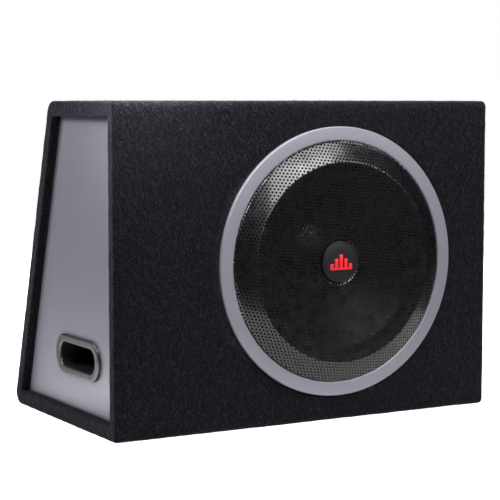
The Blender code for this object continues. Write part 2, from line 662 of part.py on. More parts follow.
def build_motor():
    turned("top_plate",
           [(AIR_GAP_R, TOP_PLATE_DEPTH), (TOP_PLATE_R, TOP_PLATE_DEPTH),
            (TOP_PLATE_R, TOP_PLATE_DEPTH + TOP_PLATE), (AIR_GAP_R, TOP_PLATE_DEPTH + TOP_PLATE)],
           ZINC_STEEL, DRIVER_FRAME, 32)
    turned("magnet",
           [(MAGNET_BORE_R, MAGNET_DEPTH), (MAGNET_R, MAGNET_DEPTH),
            (MAGNET_R, MAGNET_DEPTH + MAGNET), (MAGNET_BORE_R, MAGNET_DEPTH + MAGNET)],
           FERRITE, DRIVER_FRAME, 32)
    turned("yoke",
           [(POLE_VENT_R, TOP_PLATE_DEPTH), (POLE_R, TOP_PLATE_DEPTH), (POLE_R, YOKE_DEPTH),
            (YOKE_R, YOKE_DEPTH), (YOKE_R, YOKE_DEPTH + YOKE_PLATE), (POLE_VENT_R, YOKE_DEPTH + YOKE_PLATE)],
           ZINC_STEEL, DRIVER_FRAME, 32)
    wall = MAGNET_R + 2 * GAP + BOOT_SHEET / 2
    turned_shell("magnet_boot",
                 [(wall, MAGNET_DEPTH + 4 * MM), (wall, BOOT_FLOOR - 2 * MM), (wall - 2 * MM, BOOT_FLOOR),
                  (BOOT_LIP_R, BOOT_FLOOR)],
                 BOOT_SHEET, RUBBER, DRIVER_FRAME, 32)


def build_driver_fixings(baffle, basket):
    inner, outer = CUTOUT_R + GASKET_LAP, FLANGE_R
    low, high = CARPET - GAP - GASKET, CARPET - GAP
    section = [(inner, low), (outer, low), (outer, high), (inner, high)]
    gasket = turned("mounting_gasket", section, FOAM, DRIVER_FRAME)
    places = on_circle(SCREW_CIRCLE_R, DRIVER_SCREWS, math.pi / DRIVER_SCREWS)
    holes = make_cutter(rods("screw_holes", places, SCREW_SHANK_R + GAP, -RIM, RIM * 2, DRIVER_FRAME, 12))
    for piece in (gasket, basket, baffle):
        boolean(piece, holes)
    under_head = FLANGE_FRONT - GAP
    profile = [(0, under_head - SCREW_HEAD), (SCREW_HEAD_R * 0.8, under_head - SCREW_HEAD),
               (SCREW_HEAD_R, under_head - SCREW_HEAD * 0.4), (SCREW_HEAD_R, under_head),
               (SCREW_SHANK_R, under_head), (SCREW_SHANK_R, under_head + SCREW_LENGTH * 0.85),
               (0, under_head + SCREW_LENGTH)]
    for i, (u, v) in enumerate(places, 1):
        turned(f"driver_screw_{i}", profile, ZINC_STEEL, DRIVER_FRAME @ Matrix.Translation((u, v, 0)), 10)


def build_front_trim():
    front, under = -RING_PROUD, RING_SHELL - RING_PROUD
    outer_wall = RING_R - RING_SHELL * 1.4
    turns = [math.pi / 2 * i / ARC_STEPS for i in range(ARC_STEPS + 1)]
    arc = [(RING_R + RING_ROUND * (math.cos(t) - 1), front + RING_ROUND * (1 - math.sin(t))) for t in turns]
    ring = [(RING_R, -GAP), *arc, (RING_BORE_R + 0.9 * MM, front), (RING_BORE_R, front + 0.7 * MM),
            (RING_BORE_R, under), (outer_wall, under), (outer_wall, -GAP)]
    turned("trim_ring", ring, SILVER, DRIVER_FRAME)

    rim = FLANGE_FRONT - GAP - GRILLE_SHEET / 2
    crest = -GRILLE_CREST_PROUD
    foot = rim - GRILLE_STEP
    shares = [i / ARC_STEPS for i in range(ARC_STEPS + 1)]
    rises = [foot + (crest - foot) * s * (1 + GRILLE_SWELL * (1 - s)) for s in shares]
    shoulder = [(GRILLE_BASE_R - GRILLE_SHOULDER * s, rise) for s, rise in zip(shares, rises)]
    bowl_steps = 5
    widest = GRILLE_CREST_R - GRILLE_CREST_FLAT
    radii = [widest + (GRILLE_HOLE_R - widest) * i / bowl_steps for i in range(bowl_steps + 1)]
    bowl = [(r, grille_bowl(r)) for r in radii]
    sheet = [(GRILLE_RIM_R, rim), (GRILLE_BASE_R, rim), *shoulder, *bowl]
    turned_shell("grille", sheet, GRILLE_SHEET, BLACK_STEEL, DRIVER_FRAME)

    back = grille_bowl(BADGE_R) - GRILLE_SHEET / 2 - GAP
    face = back - BADGE
    turned("badge",
           [(0, face), (BADGE_R - BADGE_ROUND, face), (BADGE_R, face + BADGE_ROUND), (BADGE_R, back),
            (BADGE_STUD_R, back), (BADGE_STUD_R, 0), (0, 0)],
           BADGE_BLACK, DRIVER_FRAME, 32)
    mesh = flat_outline("badge_emblem", [level_bars()], EMBLEM)
    add_object("badge_emblem", mesh, RED, DRIVER_FRAME @ Matrix.Translation((0, 0, face - GAP - EMBLEM / 2)))


def grille_bowl(radius):
    """Depth of the grille's middle inside the crest: a shallow bowl."""
    share = radius / GRILLE_CREST_R
    return -GRILLE_CENTRE_PROUD - (GRILLE_CREST_PROUD - GRILLE_CENTRE_PROUD) * share * share


def level_bars():
    """Five upright bars of different heights on a common base, as one outline. Up is local -Y."""
    foot = max(EMBLEM_HEIGHTS) / 2
    count = len(EMBLEM_HEIGHTS)
    outline = []
    for i, height in enumerate(EMBLEM_HEIGHTS):
        left = (i - (count - 1) / 2) * EMBLEM_PITCH - EMBLEM_BAR / 2
        right = left + EMBLEM_BAR
        outline += [(left, foot - EMBLEM_BASE), (left, foot - height), (right, foot - height),
                    (right, foot - EMBLEM_BASE)]
    half = (count - 1) / 2 * EMBLEM_PITCH + EMBLEM_BAR / 2
    return [(-half, foot), *outline, (half, foot)]


# ---------------------------------------------------------------- the amplifier
def chassis_corners(grow=0.0):
    """Low and high corner, in (y, z), of the amplifier's chassis, grown by a clearance."""
    low_y = FRONT_Y + PLATE_FROM_FRONT + CHASSIS_INSET
    low_z = PLATE_FROM_BASE + CHASSIS_INSET
    high_y = low_y + PLATE_WIDTH - 2 * CHASSIS_INSET
    high_z = low_z + PLATE_HEIGHT - 2 * CHASSIS_INSET
    return low_y - grow, low_z - grow, high_y + grow, high_z + grow


def at_end(x, across_plate, z):
    """A frame on the right end whose local +Z points out of the end, at a distance from the plate's edge."""
    return Matrix.Translation((x, FRONT_Y + PLATE_FROM_FRONT + across_plate, z)) @ SIDE_FRAME


def build_plate():
    low_y, low_z = FRONT_Y + PLATE_FROM_FRONT, PLATE_FROM_BASE
    high_y, high_z = low_y + PLATE_WIDTH, low_z + PLATE_HEIGHT
    inset = PLATE_SCREW_INSET
    corners = [(u, v) for u in (low_y + inset, high_y - inset) for v in (low_z + inset, high_z - inset)]
    hole = SCREW_SHANK_R + GAP
    round_holes = [(u, v, hole) for u, v in corners]
    round_holes += [(low_y + u, PLATE_TOP - KNOBS_FROM_TOP, KNOB_SHAFT_R + GAP) for u in KNOBS.values()]
    round_holes += [(low_y + u, PLATE_TOP - LINE_FROM_TOP, LINE_BARREL_R + GAP) for u in LINES_ACROSS]
    round_holes.append((low_y + LED_ACROSS, PLATE_TOP - SWITCH_FROM_TOP, LED_R + GAP))
    outlines = [rectangle(low_y, low_z, high_y, high_z, PLATE_ROUND)]
    outlines += [[(u + a, v + b) for a, b in on_circle(r, 16, 0)] for u, v, r in round_holes]
    wide, tall = FUSE_THICKNESS + 2 * HOLDER_WALL, FUSE_LENGTH + 2 * HOLDER_WALL
    square_holes = [
        (SWITCH_ACROSS, PLATE_TOP - SWITCH_FROM_TOP, SWITCH_BUTTON + SWITCH_TRAVEL, SWITCH_BUTTON),
        (SOCKET_ACROSS, PLATE_TOP - LINE_FROM_TOP, SOCKET_WIDTH, SOCKET_HEIGHT),
        (FUSE_ACROSS, PLATE_FROM_BASE + FUSE_UP, wide, tall)]
    for across_plate, z, width, height in square_holes:
        y = low_y + across_plate
        outlines.append(rectangle(y - width / 2 - GAP, z - height / 2 - GAP,
                                  y + width / 2 + GAP, z + height / 2 + GAP))
    across("amplifier_plate", outlines, PLATE_X, PLATE_FACE_X, POWDER_COAT)

    head = [(0, SCREW_HEAD + GAP), (SCREW_HEAD_R * 0.8, SCREW_HEAD + GAP),
            (SCREW_HEAD_R, SCREW_HEAD * 0.6 + GAP), (SCREW_HEAD_R, GAP), (SCREW_SHANK_R, GAP),
            (SCREW_SHANK_R, -SCREW_LENGTH), (0, -SCREW_LENGTH - MM)]
    deepest = PLATE_FACE_X - SCREW_LENGTH - 2 * MM
    holes = rods("plate_screw_holes", corners, hole, deepest, PLATE_FACE_X, SIDE_FRAME, 12)
    make_cutter(holes)
    for name in ("right_side_panel", "right_end_board"):
        boolean(bpy.data.objects[name], holes)
    for i, (u, v) in enumerate(corners, 1):
        turned(f"plate_screw_{i}", head, BLACK_STEEL, at_end(PLATE_FACE_X, u - low_y, v), 10)


def build_chassis():
    low_y, low_z, high_y, high_z = chassis_corners()
    outer_x = PLATE_X - GAP
    inner_x = outer_x - CHASSIS_DEPTH
    chassis = block("amplifier_chassis", (inner_x, low_y, low_z), (outer_x, high_y, high_z), ZINC_STEEL)
    sheet = CHASSIS_SHEET
    room = block("chassis_room", (inner_x + sheet, low_y + sheet, low_z + sheet),
                 (outer_x + sheet, high_y - sheet, high_z - sheet), None)
    boolean(chassis, make_cutter(room))
    outlet = rods("wire_outlet", [(0, 0)], WIRE_OUTLET_R, -2 * sheet, 2 * sheet,
                  Matrix.Translation((inner_x, wire_start()[1], wire_start()[2])) @ SIDE_FRAME, 12)
    boolean(chassis, make_cutter(outlet))
    face = PLATE_X - BOARD_BEHIND_PLATE
    clear = sheet + MM
    block("circuit_board", (face - CIRCUIT_BOARD, low_y + clear, low_z + clear),
          (face, high_y - clear, high_z - clear), BOARD_GREEN)
    bpy.ops.mesh.primitive_torus_add(
        major_radius=CHOKE_R, minor_radius=CHOKE_WIRE_R, major_segments=24, minor_segments=10)
    choke = bpy.context.object
    choke.name = choke.data.name = "choke"
    for held in list(choke.users_collection):
        held.objects.unlink(choke)
    PARTS.objects.link(choke)
    choke.data.materials.append(COPPER)
    smooth(choke.data)
    behind = face - CIRCUIT_BOARD - GAP - CHOKE_WIRE_R
    choke.matrix_world = at_end(behind, PLATE_WIDTH / 2, PLATE_FROM_BASE + CHOKE_UP)


def build_controls():
    shaft_end = -PLATE - SHAFT_BEHIND_PLATE
    for name, across_plate in KNOBS.items():
        placed = at_end(PLATE_FACE_X, across_plate, PLATE_TOP - KNOBS_FROM_TOP)
        top = KNOB_FOOT + KNOB_HEIGHT
        knob = turned(
            name,
            [(0, top), (KNOB_R - 2 * MM, top), (KNOB_R - 1.2 * MM, top - 0.8 * MM),
             (KNOB_R - 0.8 * MM, KNOB_FOOT + 2 * MM), (KNOB_R, KNOB_FOOT + 1.4 * MM), (KNOB_R, KNOB_FOOT),
             (KNOB_SHAFT_R, KNOB_FOOT), (KNOB_SHAFT_R, shaft_end), (0, shaft_end)],
            BLACK_PLASTIC, placed, SMALL_STEPS)
        mark = add_object(f"{name}_mark", bpy.data.meshes.new("mark"), None, placed)
        work = bmesh.new()
        size = (KNOB_MARK_WIDTH, KNOB_MARK_LENGTH, 2 * KNOB_MARK_DEPTH, 1)
        outwards = Matrix.Translation((0, KNOB_R - KNOB_MARK_LENGTH * 0.7, top))
        bmesh.ops.create_cube(work, size=1, matrix=outwards @ Matrix.Diagonal(size))
        work.to_mesh(mark.data)
        work.free()
        boolean(knob, make_cutter(mark))
        mouth = shaft_end + POT_OVERLAP
        floor = mouth - POT_HEIGHT
        turned(f"{name.removesuffix('_knob')}_potentiometer",
               [(0, floor), (POT_R, floor), (POT_R, mouth), (KNOB_SHAFT_R + GAP, mouth),
                (KNOB_SHAFT_R + GAP, shaft_end - GAP), (0, shaft_end - GAP)],
               ZINC_STEEL, placed, 16)

    button = SWITCH_BUTTON / 2
    foot = button + SWITCH_TRAVEL / 2 + SWITCH_SHOULDER
    low, high = PLATE_X - GAP, PLATE_FACE_X + SWITCH_PROUD
    start_y = FRONT_Y + PLATE_FROM_FRONT + SWITCH_ACROSS - SWITCH_TRAVEL / 2
    placed = Matrix.Translation((0, start_y, PLATE_TOP - SWITCH_FROM_TOP))
    outline = [(low - SWITCH_BASE, -foot), (low, -foot), (low, -button), (high, -button),
               (high, button), (low, button), (low, foot), (low - SWITCH_BASE, foot)]
    mesh = flat_outline("phase_switch", [outline], SWITCH_BUTTON)
    add_object("phase_switch", mesh, CONNECTOR_WHITE, placed)

    turns = [math.pi / 2 * i / 3 for i in range(3)]
    bulb = [(LED_R * math.cos(t), LED_PROUD + LED_R / 2 * math.sin(t)) for t in turns]
    turned("status_led", [(0, -LED_BEHIND), (LED_R, -LED_BEHIND), *bulb, (0, LED_PROUD + LED_R / 2)], LED_RED,
           at_end(PLATE_FACE_X, LED_ACROSS, PLATE_TOP - SWITCH_FROM_TOP), 12)


def build_sockets():
    base_high = PLATE_X - GAP
    low_y, line_z = FRONT_Y + PLATE_FROM_FRONT, PLATE_TOP - LINE_FROM_TOP
    ends = [low_y + u for u in LINES_ACROSS]
    pair = block("line_input_sockets", (base_high - LINE_BODY, ends[0] - LINE_MARGIN, line_z - LINE_MARGIN),
                 (base_high, ends[1] + LINE_MARGIN, line_z + LINE_MARGIN), BLACK_PLASTIC)
    places = [(y, line_z) for y in ends]
    tip = PLATE_FACE_X + LINE_PROUD
    barrels = rods("line_barrels", places, LINE_BARREL_R, base_high - MM, tip, SIDE_FRAME, 16)
    bores = rods("line_bores", places, LINE_BORE_R, PLATE_X, tip + MM, SIDE_FRAME, 10)
    boolean(pair, make_cutter(barrels), "UNION")
    boolean(pair, make_cutter(bores))

    def cup(name, y, z, width, height, wall, proud, look):
        """An open-fronted cup let through the plate."""
        back, front = PLATE_X - SOCKET_BEHIND, PLATE_FACE_X + proud
        low, high = (y - width / 2, z - height / 2), (y + width / 2, z + height / 2)
        made = block(name, (back, *low), (front, *high), look)
        room = block(f"{name}_room", (back + SOCKET_FLOOR, low[0] + wall, low[1] + wall),
                     (front + MM, high[0] - wall, high[1] - wall), None)
        boolean(made, make_cutter(room))

    cup("speaker_level_socket", low_y + SOCKET_ACROSS, line_z, SOCKET_WIDTH, SOCKET_HEIGHT, SOCKET_WALL,
        SOCKET_PROUD, CONNECTOR_WHITE)
    y, z = low_y + FUSE_ACROSS, PLATE_FROM_BASE + FUSE_UP
    wide, tall = FUSE_THICKNESS + 2 * HOLDER_WALL, FUSE_LENGTH + 2 * HOLDER_WALL
    cup("fuse_holder", y, z, wide, tall, HOLDER_WALL - GAP, HOLDER_PROUD, BLACK_PLASTIC)
    foot = PLATE_X - SOCKET_BEHIND + SOCKET_FLOOR + GAP
    block("blade_fuse", (foot, y - FUSE_THICKNESS / 2, z - FUSE_LENGTH / 2),
          (PLATE_FACE_X + FUSE_PROUD, y + FUSE_THICKNESS / 2, z + FUSE_LENGTH / 2), FUSE_AMBER)


def build_power_terminals():
    """A block whose wire entries open downwards. Its outline is a comb, seen from the end."""
    width = TERMINALS * TERMINAL_PITCH + (TERMINAL_PITCH - TERMINAL_ENTRY)
    left = FRONT_Y + PLATE_FROM_FRONT + TERMINALS_ACROSS - width / 2
    middle = PLATE_FROM_BASE + TERMINALS_UP
    low, high = middle - TERMINAL_HEIGHT / 2, middle + TERMINAL_HEIGHT / 2
    outline = [(left, low)]
    for i in range(TERMINALS):
        start = left + (TERMINAL_PITCH - TERMINAL_ENTRY) + i * TERMINAL_PITCH
        end = start + TERMINAL_ENTRY
        deep = low + TERMINAL_ENTRY_DEPTH
        outline += [(start, low), (start, deep), (end, deep), (end, low)]
    outline += [(left + width, low), (left + width, high), (left, high)]
    face = PLATE_FACE_X + GAP
    across("power_terminal_block", [outline], face, face + TERMINAL_PROUD, BLACK_PLASTIC)


def build_heat_sink():
    """Fins that stand out of a base plate. The outline is a comb in (x, z), drawn across the end."""
    face = PLATE_FACE_X + GAP
    low = PLATE_FROM_BASE + FINS_UP
    high = low + (FINS - 1) * FIN_PITCH + FIN
    outline = [(face, low), (face + FIN_BASE, low)]
    for i in range(FINS):
        z = low + i * FIN_PITCH
        if i:
            outline.append((face + FIN_BASE, z))
        else:
            outline.pop()
        outline += [(face + FIN_BASE + FIN_HEIGHT, z), (face + FIN_BASE + FIN_HEIGHT, z + FIN)]
        if i < FINS - 1:
            outline.append((face + FIN_BASE, z + FIN))
    outline.append((face, high))
    middle_y = FRONT_Y + PLATE_FROM_FRONT + PLATE_WIDTH / 2
    upright = Matrix.Translation((0, middle_y, 0)) @ Matrix.Rotation(math.pi / 2, 4, "X")
    mesh = flat_outline("heat_sink", [outline], PLATE_WIDTH - 2 * FIN_MARGIN)
    add_object("heat_sink", mesh, POWDER_COAT, upright)


# ---------------------------------------------------------------- wires
def wire_start():
    """Where the speaker wire leaves the chassis."""
    low_y, _, high_y, _ = chassis_corners()
    return (PLATE_X - GAP - CHASSIS_DEPTH, (low_y + high_y) / 2, PLATE_FROM_BASE + WIRE_UP)


def build_driver_terminal():
    """An insulating block on the basket's spider shoulder, under the driver's axis on its right."""
    x = DRIVER_X + SPIDER_OUTER_R + TERMINAL_BLOCK_OUT
    y = FRONT_Y + SPIDER_SEAT + BASKET_SHEET + GAP
    half = TERMINAL_BLOCK / 2
    block("driver_terminal", (x - half, y, DRIVER_Z - half),
          (x + half, y + TERMINAL_BLOCK_HEIGHT, DRIVER_Z + half), BLACK_PLASTIC)
    return (x, y + TERMINAL_BLOCK_HEIGHT, DRIVER_Z)


def spline_points(through, count):
    """Points along a smooth Catmull-Rom curve through the given ones."""
    ends = [through[0], *through, through[-1]]
    made = []
    spans = len(through) - 1
    for k in range(count + 1):
        t = k / count * spans
        i = min(int(t), spans - 1)
        t -= i
        p0, p1, p2, p3 = ends[i:i + 4]
        made.append([0.5 * (2 * b + (c - a) * t + (2 * a - 5 * b + 4 * c - d) * t * t
                            + (3 * b - a - 3 * c + d) * t ** 3) for a, b, c, d in zip(p0, p1, p2, p3)])
    return made


def wire(name, points, radius, look):
    curve = bpy.data.curves.new(name, "CURVE")
    curve.dimensions = "3D"
    curve.bevel_depth = radius
    curve.bevel_resolution = 2
    curve.use_fill_caps = True
    spline = curve.splines.new("POLY")
    spline.points.add(len(points) - 1)
    for point, place in zip(spline.points, points):
        point.co = (*place, 1)
    obj = bpy.data.objects.new(name, curve)
    curve.materials.append(look)
    PARTS.objects.link(obj)


def build_wires(terminal):
    x, y, z = wire_start()
    tx, ty, tz = terminal
    ty += GAP
    middle = ((x + tx) / 2 - 10 * MM, (y + ty) / 2 + 26 * MM, (z + tz) / 2)
    through = [(x + 3 * MM, y, z), (x - 5 * MM, y, z), (x - 12 * MM, y, z), middle,
               (tx, ty + 22 * MM, tz), (tx, ty + 10 * MM, tz), (tx, ty, tz)]
    wire("speaker_wire", spline_points(through, 24), WIRE_R, WIRE_RED)


def main():
    build_carpet()
    baffle = build_boards()
    build_port()
    basket = build_basket()
    build_suspension()
    build_cone()
    build_motor()
    build_driver_fixings(baffle, basket)
    build_front_trim()
    build_plate()
    build_chassis()
    build_controls()
    build_sockets()
    build_power_terminals()
    build_heat_sink()
    build_wires(build_driver_terminal())


main()
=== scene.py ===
"""Powered car subwoofer: the finished looks of its pieces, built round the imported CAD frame.

+X runs along the width to the amplifier's end, -Y to the front and +Z up. Everything is in metres.
"""

import math

import bmesh
import bpy
import numpy as np
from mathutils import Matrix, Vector


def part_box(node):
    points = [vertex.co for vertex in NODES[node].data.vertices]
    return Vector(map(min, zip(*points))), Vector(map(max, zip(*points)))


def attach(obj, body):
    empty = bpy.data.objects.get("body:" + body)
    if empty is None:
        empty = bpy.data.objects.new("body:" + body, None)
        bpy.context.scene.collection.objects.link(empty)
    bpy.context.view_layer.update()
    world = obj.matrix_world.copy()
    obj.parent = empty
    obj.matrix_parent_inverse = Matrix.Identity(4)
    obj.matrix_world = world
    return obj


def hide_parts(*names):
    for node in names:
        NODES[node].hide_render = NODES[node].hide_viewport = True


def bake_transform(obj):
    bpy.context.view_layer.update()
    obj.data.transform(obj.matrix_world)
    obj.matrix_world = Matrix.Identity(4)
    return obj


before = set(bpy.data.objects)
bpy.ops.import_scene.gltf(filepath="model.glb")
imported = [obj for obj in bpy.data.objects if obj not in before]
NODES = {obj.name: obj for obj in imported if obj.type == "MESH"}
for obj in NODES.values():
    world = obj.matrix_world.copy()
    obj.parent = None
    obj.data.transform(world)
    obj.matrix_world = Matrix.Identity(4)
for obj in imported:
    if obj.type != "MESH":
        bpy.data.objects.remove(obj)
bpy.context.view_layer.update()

bl_info = {
    "name": "Powered car subwoofer",
    "version": (1, 0, 0),
    "blender": (4, 5, 0),
    "location": "View3D > Sidebar > Subwoofer",
    "description": "Builds a carpeted subwoofer box with its driver, grille, port and plate amplifier",
    "category": "Add Mesh",
}

MM = 0.001
TURN = 2 * math.pi


def box(node):
    """Lowest and highest corner of a CAD node, as two arrays."""
    low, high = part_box(node)
    return np.array(low), np.array(high)


# ---------------------------------------------------------------- places taken from the frame
WRAP_LOW, WRAP_HIGH = box("carpet_wrap")
HALF_WIDTH = WRAP_HIGH[0]
FRONT_Y = WRAP_LOW[1]
HEIGHT = WRAP_HIGH[2]
SEAM_Y = FRONT_Y + 157 * MM
RING_LOW, RING_HIGH = box("trim_ring")
DRIVER_X = (RING_LOW[0] + RING_HIGH[0]) / 2
DRIVER_Z = (RING_LOW[2] + RING_HIGH[2]) / 2
PANEL_X = -box("left_side_panel")[0][0]
BADGE_LOW, BADGE_HIGH = box("badge")
BADGE_R = (BADGE_HIGH[0] - BADGE_LOW[0]) / 2
PLATE_LOW, PLATE_HIGH = box("amplifier_plate")
PLATE_FACE = PLATE_HIGH[0]


# ---------------------------------------------------------------- sizes and colours a user may change
def length(name, description, default, soft_max=0.5):
    """A length in metres."""
    return bpy.props.FloatProperty(
        name=name, description=description, default=default, min=0, soft_max=soft_max,
        subtype="DISTANCE", unit="LENGTH", precision=4)


def tint(name, description, default):
    """A linear colour."""
    return bpy.props.FloatVectorProperty(
        name=name, description=description, default=default, size=3, min=0, max=1, subtype="COLOR")


def share(name, description, default, top=1.0):
    """A number without a unit."""
    return bpy.props.FloatProperty(name=name, description=description, default=default, min=0, max=top)


class BoxSizes(bpy.types.PropertyGroup):
    """The carpeted box."""
    depth: length("Depth at the base", "Front to back before the edges are rounded", 298 * MM)
    depth_top: length("Depth at the top", "Front to back along the top", 180 * MM)
    rim: length("Rim width", "Of the top, back and bottom rims round an end", 18 * MM)
    front_rim: length("Front rim width", "Of the front rim round an end", 15 * MM)
    rim_round: length("Rim rounding", "Radius of the rim's outer edge", 3.6 * MM)
    fold_round: length("Fold rounding", "Radius of the rim's inner edge", 2.2 * MM)
    cloth: length("Carpet thickness", "Of the felt", 1.5 * MM)
    cell: length("Mesh cell", "Spacing of the carpet's mesh", 5 * MM)
    hole: length("Driver opening", "Radius of the hole cut in the front", 153.8 * MM)
    fibres: bpy.props.IntProperty(
        name="Loose fibres", description="How many stand out of the felt", default=26000, min=0)
    colour: tint("Carpet colour", "Of the felt's body", (0.0030, 0.0029, 0.0042))
    panel: tint("Panel colour", "Of the silver end panels", (0.305, 0.300, 0.355))
    seed: bpy.props.IntProperty(name="Seed", description="For the felt's unevenness", default=7, min=0)


class DriverSizes(bpy.types.PropertyGroup):
    """The grille, the ring round it and the driver behind it."""
    steps: bpy.props.IntProperty(name="Round steps", description="Faces round a turned piece",
                                 default=224, min=16)
    pitch: length("Hole pitch", "Between the grille's holes", 4.5 * MM)
    hole: length("Hole radius", "Of the grille's holes", 1.40 * MM)
    sheet: length("Grille sheet", "Thickness of the grille's steel", 1.0 * MM)
    ring: tint("Ring colour", "Of the trim ring's paint", (0.28, 0.275, 0.322))
    gloss: tint("Grille colour", "Of the grille's gloss paint", (0.0060, 0.0058, 0.0075))
    mark: tint("Emblem colour", "Of the badge's bars", (0.93, 0.016, 0.030))


class AmplifierSizes(bpy.types.PropertyGroup):
    """The plate amplifier in the right end."""
    knurls: bpy.props.IntProperty(name="Knob ribs", description="Round one knob", default=24, min=3)
    knob_colour: tint("Knob colour", "Of the moulded knobs", (0.022, 0.022, 0.024))
    ink: tint("Print colour", "Of the scales printed on the plate", (0.55, 0.55, 0.56))


class StudioSizes(bpy.types.PropertyGroup):
    """Floor, lights and camera."""
    lens: bpy.props.FloatProperty(
        name="Lens", description="Focal length in millimetres", default=118.1, min=1)
    floor: tint("Floor colour", "Of the pale floor", (0.90, 0.90, 0.90))
    floor_glow: share("Floor glow", "Light added where the floor is seen, to make it white", 1.0, 5)
    room: share("Room", "Brightness of the room at eye level", 0.004, 5)
    sky: share("Ceiling", "Brightness of the room overhead", 0.02, 5)


CAMERA_PLACE = (-0.9993, FRONT_Y - 1.6126, 0.3725)
CAMERA_TURN = tuple(math.radians(part) for part in (90 - 5.12, 0, -29.634))

# The point that most lights face.
AIM = (0.0, -0.05, 0.19)
# Name, place, the point it faces, width and height, power in watts.
SOFTBOXES = (
    ("edge_left", (-0.30, -0.175, 0.43), (-0.30, -0.175, 0.0), (0.30, 0.05), 0.81),
    ("edge_middle", (-0.08, -0.175, 0.47), (-0.08, -0.175, 0.0), (0.30, 0.05), 0.19),
    ("edge_right", (0.18, -0.175, 0.47), (0.18, -0.175, 0.0), (0.30, 0.05), 0.14),
    ("near_left", (-0.45, -0.22, 0.56), AIM, (0.28, 0.16), 0.37),
    ("near_middle", (-0.15, -0.22, 0.56), AIM, (0.28, 0.16), 0.50),
    ("near_side", (-0.70, 0.30, 0.60), AIM, (0.20, 0.20), 2.60),
    ("front_low", (0.0, -1.096, 0.530), AIM, (0.36, 0.36), 0.92),
    ("front_middle", (0.0, -0.973, 0.789), AIM, (0.36, 0.36), 2.82),
    ("front_high", (0.0, -0.757, 1.033), AIM, (0.36, 0.36), 1.65),
    ("right_low", (0.673, -0.851, 0.530), AIM, (0.36, 0.36), 1.10),
    ("right_middle", (0.316, -0.917, 0.789), AIM, (0.36, 0.36), 3.50),
    ("right_high", (0.354, -0.662, 1.033), AIM, (0.36, 0.36), 2.00),
    ("right_fill", (1.60, 0.55, 0.55), (0.0, 0.0, 0.19), (0.60, 0.60), 8.0),
    ("back_fill", (0.40, 1.90, 0.80), (0.0, 0.0, 0.19), (0.60, 0.60), 20.0),
    ("table_glow", (-0.40, 0.12, 0.004), (-0.40, 0.12, 1.0), (0.20, 0.20), 0.24),
)


def sizes(group):
    """One of the groups above, as kept on the scene."""
    return getattr(bpy.context.scene, group)


# ---------------------------------------------------------------- mesh code
def smoothed(mesh, sharp=38):
    """Smooth shading that breaks at edges steeper than sharp, in degrees."""
    mesh.shade_smooth()
    mesh.set_sharp_from_angle(angle=math.radians(sharp))


def grid_faces(rows, columns, first=0, closed_rows=False, closed_columns=False):
    """Corner numbers of the quads of a grid of rows x columns points, numbered row by row."""
    u = np.arange(rows if closed_rows else rows - 1)
    v = np.arange(columns if closed_columns else columns - 1)
    u, v = np.meshgrid(u, v, indexing="ij")
    over, along = (u + 1) % rows, (v + 1) % columns
    corners = np.stack([u * columns + v, over * columns + v,
                        over * columns + along, u * columns + along], -1)
    return corners.reshape(-1, 4) + first


def points_of(mesh):
    """The mesh's points, as rows of x, y and z."""
    points = np.empty(len(mesh.vertices) * 3)
    mesh.vertices.foreach_get("co", points)
    return points.reshape(-1, 3)


class Shell:
    """Gathers grids of points into one mesh. Each grid is a surface over two parameters."""

    def __init__(self):
        self.points = []
        self.faces = []
        self.count = 0

    def grid(self, points, closed_rows=False, closed_columns=False):
        """Adds points[row, column, xyz], joined up where a direction is closed."""
        rows, columns = points.shape[:2]
        self.faces.append(grid_faces(rows, columns, self.count, closed_rows, closed_columns).tolist())
        self.points.append(points.reshape(-1, 3))
        self.count += rows * columns
        return self

    def loose(self, points, faces):
        """Adds points and faces of any number of corners, numbered from the first of these points."""
        self.faces.append([[corner + self.count for corner in face] for face in faces])
        self.points.append(points.reshape(-1, 3))
        self.count += len(points.reshape(-1, 3))
        return self

    def mesh(self, name, weld=2e-6, recalculate=True, sharp=38):
        """The mesh, with doubles merged and its faces turned outwards."""
        mesh = bpy.data.meshes.new(name)
        faces = [face for block in self.faces for face in block]
        mesh.from_pydata(np.concatenate(self.points).tolist(), [], faces)
        work = bmesh.new()
        work.from_mesh(mesh)
        if weld:
            bmesh.ops.remove_doubles(work, verts=work.verts, dist=weld)
        if recalculate:
            bmesh.ops.recalc_face_normals(work, faces=work.faces)
        work.to_mesh(mesh)
        work.free()
        smoothed(mesh, sharp)
        return mesh


def add_piece(name, mesh, look, body="enclosure", nodes=()):
    """Links a finished mesh as a piece that rides on a body, wears a finish and stands for CAD nodes."""
    obj = bpy.data.objects.new(name, mesh)
    bpy.context.scene.collection.objects.link(obj)
    mesh.materials.append(look)
    if body:
        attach(obj, body)
    if nodes:
        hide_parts(*nodes)
    return obj


def arc(centre, radii, start, end, steps):
    """Points of an ellipse's arc: centre + radii * (cos, sin) of an angle from start to end, in degrees."""
    angle = np.radians(np.linspace(start, end, steps))
    return np.stack([centre[0] + radii[0] * np.cos(angle), centre[1] + radii[1] * np.sin(angle)], 1)


def about_driver(profile, steps):
    """The profile's (radius, depth) turned about the driver's axis: x and z are the radius times cosine and
    sine of the turn, and depth runs into the box from the carpet's front face."""
    angle = np.linspace(0, TURN, steps, endpoint=False)[None]
    radius, depth = profile[:, 0:1], profile[:, 1:2]
    return np.stack([DRIVER_X + radius * np.cos(angle), FRONT_Y + depth + 0 * angle,
                     DRIVER_Z + radius * np.sin(angle)], -1)


def offset_profile(profile, distance):
    """The profile moved sideways by distance, along the normals of its smoothed direction."""
    way = np.gradient(profile, axis=0)
    way /= np.linalg.norm(way, axis=1, keepdims=True)
    return profile + distance * np.stack([-way[:, 1], way[:, 0]], 1)


def wall_profile(profile, thickness):
    """A closed profile: the line moved half the thickness to one side, and back along the other."""
    return np.concatenate([offset_profile(profile, thickness / 2),
                           offset_profile(profile, -thickness / 2)[::-1]])


